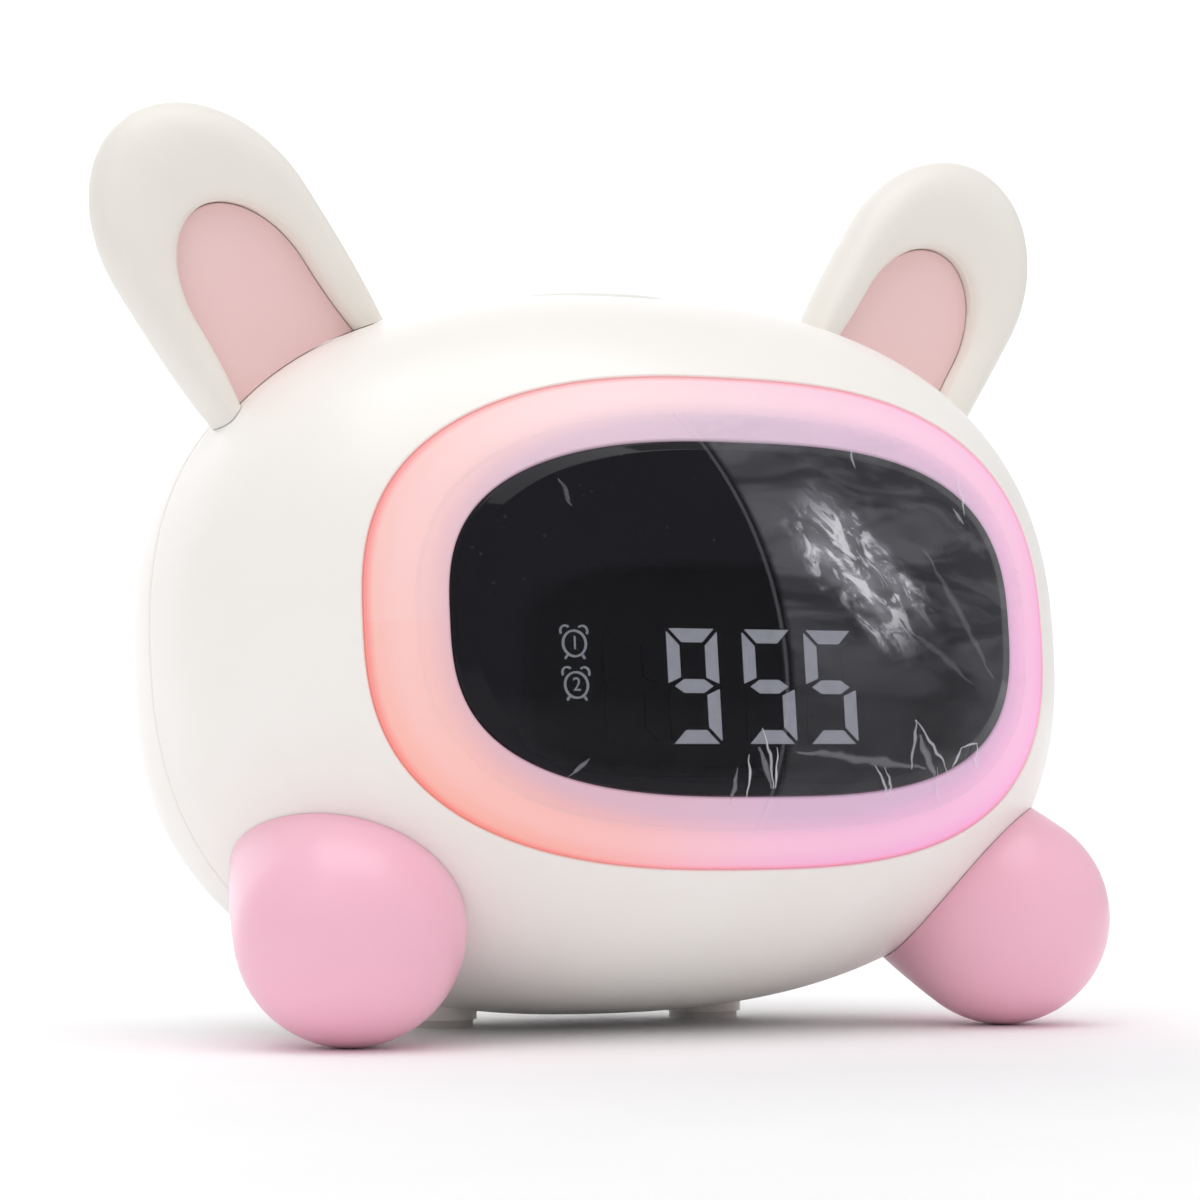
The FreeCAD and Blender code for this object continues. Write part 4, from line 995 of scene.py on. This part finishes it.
# painted highlights of folds in the sheet: start and end (across, up), half width and strength
folds = (((-4.2, -21.5), (-3.6, -27.4), 0.30, 0.75), ((-5.8, -23.4), (-6.2, -28.2), 0.45, 0.30),
         ((-2.0, -17.1), (0.5, -26.2), 0.38, 0.60), ((0.5, -20.2), (0.8, -26.2), 0.28, 0.75),
         ((-2.7, -20.6), (0.2, -26.1), 0.60, 0.30), ((18.3, -22.6), (22.3, -28.0), 0.30, 0.60),
         ((20.2, -22.8), (22.5, -27.6), 0.30, 0.55), ((25.3, -23.2), (25.7, -15.9), 0.45, 0.45),
         ((25.7, -15.9), (33.0, -23.5), 0.42, 0.55), ((26.4, -18.4), (30.4, -24.0), 0.90, 0.28),
         ((30.7, -23.2), (32.8, -29.2), 0.24, 0.45), ((34.0, -22.8), (35.3, -20.0), 0.35, 0.70),
         ((35.3, -20.0), (38.8, -19.0), 0.30, 0.65), ((38.6, -19.2), (40.4, -22.6), 0.40, 0.55),
         ((40.1, 23.2), (38.8, 16.1), 0.34, 0.55), ((36.6, 16.9), (38.2, 14.6), 0.50, 0.35),
         ((-32.0, 19.4), (-30.5, 15.4), 0.60, 0.16), ((-31.8, -24.0), (-29.7, -21.6), 0.45, 0.30),
         ((18.0, 25.6), (17.7, 22.7), 0.28, 0.40), ((29.1, 9.6), (42.3, -9.0), 0.75, 0.10),
         ((25.5, -2.5), (37.3, -10.2), 0.70, 0.09), ((4.2, -20.9), (28.0, -22.9), 0.85, 0.20))


def streakHighlightMask(tree, place, across, up):
    # the crumpled streak: painted highlight glints over a veil of haze, drawn out along its own
    # direction
    turn = math.radians(haze["streakTurn"])
    offX = mathNode(tree, "SUBTRACT", across, haze["streakAt"][0])
    offZ = mathNode(tree, "SUBTRACT", up, haze["streakAt"][1])
    along = mathNode(tree, "SUBTRACT", mathNode(tree, "MULTIPLY", offX, math.cos(turn)),
                     mathNode(tree, "MULTIPLY", offZ, math.sin(turn)))
    aside = mathNode(tree, "ADD", mathNode(tree, "MULTIPLY", offX, math.sin(turn)),
                     mathNode(tree, "MULTIPLY", offZ, math.cos(turn)))
    drawn = addNode(tree, "CombineXYZ", {"X": mathNode(tree, "MULTIPLY", along, 0.17),
                                         "Y": mathNode(tree, "MULTIPLY", aside, 0.42)})
    glints = spanNode(tree, noiseNode(tree, drawn, 1.0, 4.0, 0.6, 1.1), 0.45, 0.62)
    veil = spanNode(tree, noiseNode(tree, drawn, 0.5, 2.0, 0.5, 0.4), 0.3, 0.65, 0.12, 0.42)
    stirred = mathNode(tree, "SUBTRACT", noiseNode(tree, place, 0.14, 3.0, 0.6, 0.6), 0.5)
    aside = mathNode(tree, "MULTIPLY_ADD", stirred, 10.0, aside)
    length = spanNode(tree, mathNode(tree, "ABSOLUTE", along), haze["streakHalfLength"], 6.0)
    width = spanNode(tree, mathNode(tree, "ABSOLUTE", aside), haze["streakHalfWidth"], 3.2)
    return mathNode(tree, "MULTIPLY", mathNode(tree, "MULTIPLY", length, width),
                    mathNode(tree, "MULTIPLY_ADD", glints, 0.8, veil, clamp=True))


def foldHighlightMask(tree, place):
    # painted highlights where the sheet's folds catch the light, also used as their relief, as
    # strokes pushed about a little so that none is straight
    sway = haze["sway"]
    shift = vectorNode(tree, "MULTIPLY_ADD",
                       noiseNode(tree, place, 0.35, 1.0, outlet="Color"),
                       (sway, 0, sway), (-sway / 2, 0, -sway / 2))
    flat = vectorNode(tree, "MULTIPLY_ADD", place, (1, 0, 1), shift)
    mask = 0.0
    for start, end, halfWidth, amount in folds:
        stroke = useGroup(tree, strokeGroup, Place=flat, Start=(start[0], 0, start[1]),
                          Way=(end[0] - start[0], 0, end[1] - start[1]), Half_Width=halfWidth)
        mask = mathNode(tree, "MULTIPLY_ADD", stroke["Mask"], amount, mask, clamp=True)
    return mask


def filmMaterial():
    # clear on the left; right of a curved line, lifted haze with a painted reflection, and painted
    # highlights on the streak and the folds
    material, tree, shader = newMaterial("clearFilm")
    place, across, up = casePlaceAxes(tree)
    lift = mathNode(tree, "ADD", up, haze["lineFoot"])
    bow = mathNode(tree, "MULTIPLY", mathNode(tree, "MULTIPLY", lift, lift), haze["lineBend"])
    line = mathNode(tree, "ADD", mathNode(tree, "SUBTRACT", across, haze["lineAt"]), bow)
    # right of the curved line the sheet lifts into a haze, painted lighter as a reflection over
    # the black window
    hazeAndReflectionSide = spanNode(tree, line, 0.2, 1.6)
    # a painted highlight along the curved line where the sheet lifts
    offLine = mathNode(tree, "ABSOLUTE", mathNode(tree, "ADD", line, 0.3))
    bright = spanNode(tree, offLine, 0.05, 0.5, 1.0, 0.0)
    # wisps of painted reflection on the hazy side, stronger towards the top
    grain = addNode(tree, "Mapping", {"Vector": place, "Rotation": (0, math.radians(40), 0),
                                      "Scale": (0.05, 0.1, 0.16)})
    wisps = spanNode(tree, noiseNode(tree, grain, 1.0, 3.0, 0.6, 0.8), 0.38, 0.66)
    wispyHazeAndReflection = mathNode(tree, "MULTIPLY", mathNode(tree, "MULTIPLY", wisps, hazeAndReflectionSide),
                     spanNode(tree, up, -20.0, 4.0, 0.15, 1.0))
    streakHighlight = mathNode(tree, "MULTIPLY", streakHighlightMask(tree, place, across, up), hazeAndReflectionSide)
    creaseHighlightAndRelief = foldHighlightMask(tree, place)
    rim = spanNode(tree, outlineNodes(tree, across, mathNode(tree, "SUBTRACT", up, film["centre"]),
                                      film, film["power"]), 0.95, 1.0)
    alpha = mathNode(tree, "MULTIPLY", hazeAndReflectionSide, haze["cloud"])
    for mask, kind in ((wispyHazeAndReflection, "smoke"), (streakHighlight, "streak"), (bright, "line"), (creaseHighlightAndRelief, "fold"),
                       (rim, "edge")):
        alpha = mathNode(tree, "MULTIPLY_ADD", mask, haze[kind], alpha, clamp=True)
    # the sheet is painted whiter under the streak and fold highlights
    feed(tree, shader, {
        "Alpha": alpha, "Roughness": mathNode(tree, "MULTIPLY_ADD", hazeAndReflectionSide, 0.25, 0.12),
        "Base Color": mixNode(tree, mathNode(tree, "MAXIMUM", streakHighlight, creaseHighlightAndRelief),
                              paint(206, 206, 216), paint(246, 246, 252))})
    addRelief(tree, shader, mathNode(tree, "ADD", noiseNode(tree, place, 0.12, 0.0), creaseHighlightAndRelief), 0.2)
    return material


def segmentMaterial(name, color, strength):
    material, tree, shader = newMaterial(name)
    coordinates = addNode(tree, "TexCoord", {}, "Object")
    uneven = spanNode(tree, noiseNode(tree, coordinates, 700.0, 2.0), 0.3, 0.7, 0.0, 0.35)
    tint = mixNode(tree, uneven, color, tuple(value * 0.72 for value in color[:3]) + (1.0,))
    feed(tree, shader, {"Base Color": tint, "Emission Color": tint,
                        "Emission Strength": strength, "Roughness": 0.5})
    return material


# name, colour, its drift, roughness, drift, peel size and relief
looks = {
    "shell": plastic("whiteShell", (250, 247, 243), (246, 241, 235), 0.34, 0.5, 1300, 0.03,
                     coat=0.1),
    "ear": plastic("whiteEar", (240, 236, 229), (235, 229, 220), 0.42, 0.5, 1500, 0.03),
    "panel": plastic("pinkPanel", (242, 206, 205), (236, 198, 198), 0.5, 0.5, 1700, 0.04),
    "foot": plastic("pinkFoot", (252, 192, 212), (248, 184, 206), 0.3, 0.2, 1300, 0.008,
                    uneven=0.03, coat=0.1),
    "button": plastic("whiteButton", (240, 238, 235), (233, 230, 226), 0.38, 0.4, 1600, 0.03),
    "key": plastic("greyKey", (206, 200, 200), (192, 186, 188), 0.45, 0.4, 1800, 0.04),
    "ring": ringMaterial(), "window": windowMaterial(), "film": filmMaterial(),
    "lit": segmentMaterial("litSegment", (0.66, 0.68, 0.78, 1), 0.86),
    "dark": segmentMaterial("darkSegment", (0.012, 0.012, 0.015, 1), 0.0),
    "sign": segmentMaterial("litSign", (0.66, 0.68, 0.76, 1), 0.7),
    "black": plastic("blackPlastic", (24, 24, 26), (34, 34, 36), 0.6, 0.6, 2200, 0.08),
    "board": plastic("boardGreen", (24, 92, 58), (18, 74, 48), 0.35, 0.8, 2600, 0.05),
    "lamp": plastic("lampYellow", (250, 226, 150), (236, 206, 120), 0.25, 0.4, 2200, 0.02,
                    shine=0.6),
    "steel": plastic("brightSteel", (196, 196, 198), (168, 168, 172), 0.28, 0.6, 3000, 0.06,
                     metallic=1.0),
    "cell": plastic("cellWrap", (70, 120, 176), (58, 104, 160), 0.3, 0.4, 1500, 0.03),
    "pad": plastic("softPad", (226, 222, 218), (206, 202, 198), 0.75, 0.6, 2600, 0.12)}
print("materials made")

# each node's look and slot
finish = {
    "front_shell": ("shell", "case"), "rear_shell": ("shell", "case"),
    "light_ring": ("ring", "diffuser"), "display_lens": ("window", "dark_window"),
    "lens_film": ("film", "clear_film"), "left_ear": ("ear", "case"), "right_ear": ("ear", "case"),
    "left_ear_panel": ("panel", "ear_panel"), "right_ear_panel": ("panel", "ear_panel"),
    "left_foot": ("foot", "foot"), "right_foot": ("foot", "foot"),
    "top_button": ("button", "case"),
    "charging_socket": ("steel", "steel"), "lit_segments": ("lit", "lit_sign"),
    "dark_segments": ("dark", "dark_sign"), "alarm_signs": ("sign", "lit_sign")}
for node, piece in made.items():
    look, slotName = finish.get(node, ("key", "key"))
    piece.data.materials.clear()
    piece.data.materials.append(looks[look])
    moving = node == "top_button" or node.startswith("rear_key")
    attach(piece, node + "_body" if moving else "case")
    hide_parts(node)
for piece in numerals:
    piece.data.materials.append(looks["sign"])
    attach(piece, "case")
# the CAD pieces that show as they are
carried = {
    "display_carrier": "black", "light_board": "board", "ring_lamps": "lamp", "top_board": "board",
    "top_switch": "black", "main_board": "board", "key_switches": "black", "speaker": "black",
    "battery_holder": "black", "battery_cell": "cell", "shell_screws": "steel",
    "board_screws": "steel", "limb_screws": "steel", "rear_pads": "pad"}
for node, look in carried.items():
    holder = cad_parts[node]
    if not holder.material_slots:
        holder.data.materials.append(looks[look])
    for place in holder.material_slots:
        place.material = looks[look]
print("finishes given")

# Floor with a cove behind it, soft lights, and the camera, in metres
studio = {"front": -3.0, "back": 1.6, "bend": 1.2, "height": 3.4, "halfWidth": 4.0, "steps": 24,
          "world": 0.58}
# place, target, width, height, power, colour, and whether glossy surfaces mirror it
lights = {
    "topLight": ((-0.1, -0.2, 1.25), (0, 0, 0.05), 1.3, 1.0, 7.0, (1, 1, 1), True),
    "leftLight": ((-1.25, -0.75, 0.75), (0, 0, 0.07), 0.9, 0.9, 2.1, (1.0, 0.99, 0.97), False),
    "rightLight": ((1.1, -0.9, 0.6), (0, 0, 0.07), 0.8, 0.9, 1.4, (0.985, 0.99, 1.0), False),
    "backLight": ((0.1, 1.3, 1.3), (0, 0, 0.07), 1.2, 0.6, 1.8, (1, 1, 1), False),
    "coveLight": ((0.4, 0.7, 1.6), (0.9, 2.7, 0.5), 2.4, 0.5, 46.0, (1, 1, 1), False)}
view = {"place": (-0.31664, -0.58654, 0.04314), "up": 2.074, "turn": -28.345, "lens": 126.0}


def makeFloor():
    back, bend = studio["back"], studio["bend"]
    rows = [(studio["front"], 0.0), (back, 0.0)]
    rows += [(back + bend * math.sin(angle), bend * (1 - math.cos(angle)))
             for angle in quarter(studio["steps"], 1)]
    rows.append((back + bend, studio["height"]))
    points = [(side * studio["halfWidth"], y, z) for y, z in rows for side in (-1, 1)]
    faces = [(2 * i, 2 * i + 1, 2 * i + 3, 2 * i + 2) for i in range(len(rows) - 1)]
    floor = meshPiece("studioFloor", points, faces, 0)
    floor.data.materials.append(plastic("paleFloor", (250, 250, 251), (247, 247, 248),
                                        0.7, 0.4, 40.0, 0.0))


def softLight(name, place, target, width, height, power, color, mirrored):
    light = bpy.data.lights.new(name, "AREA")
    light.shape = "RECTANGLE"
    light.size = width
    light.size_y = height
    light.energy = power
    light.color = color
    holder = bpy.data.objects.new(name, light)
    holder.visible_glossy = mirrored
    holder.location = place
    holder.rotation_euler = (Vector(target) - Vector(place)).to_track_quat("-Z", "Y").to_euler()
    bpy.context.collection.objects.link(holder)


makeFloor()
for name, settings in lights.items():
    softLight(name, *settings)
world = bpy.data.worlds.new("softWorld")
world.use_nodes = True
world.node_tree.nodes["Background"].inputs["Color"].default_value = (1, 1, 1, 1)
world.node_tree.nodes["Background"].inputs["Strength"].default_value = studio["world"]
bpy.context.scene.world = world
bpy.context.scene.view_settings.view_transform = "Standard"

camera = bpy.data.objects.new("camera", bpy.data.cameras.new("camera"))
camera.data.lens = view["lens"]
camera.data.sensor_width = 36.0
camera.data.clip_start = 0.01
camera.location = view["place"]
camera.rotation_euler = (math.radians(90 + view["up"]), 0, math.radians(view["turn"]))
bpy.context.collection.objects.link(camera)
bpy.context.scene.camera = camera
print("studio set")

bpy.context.view_layer.update()
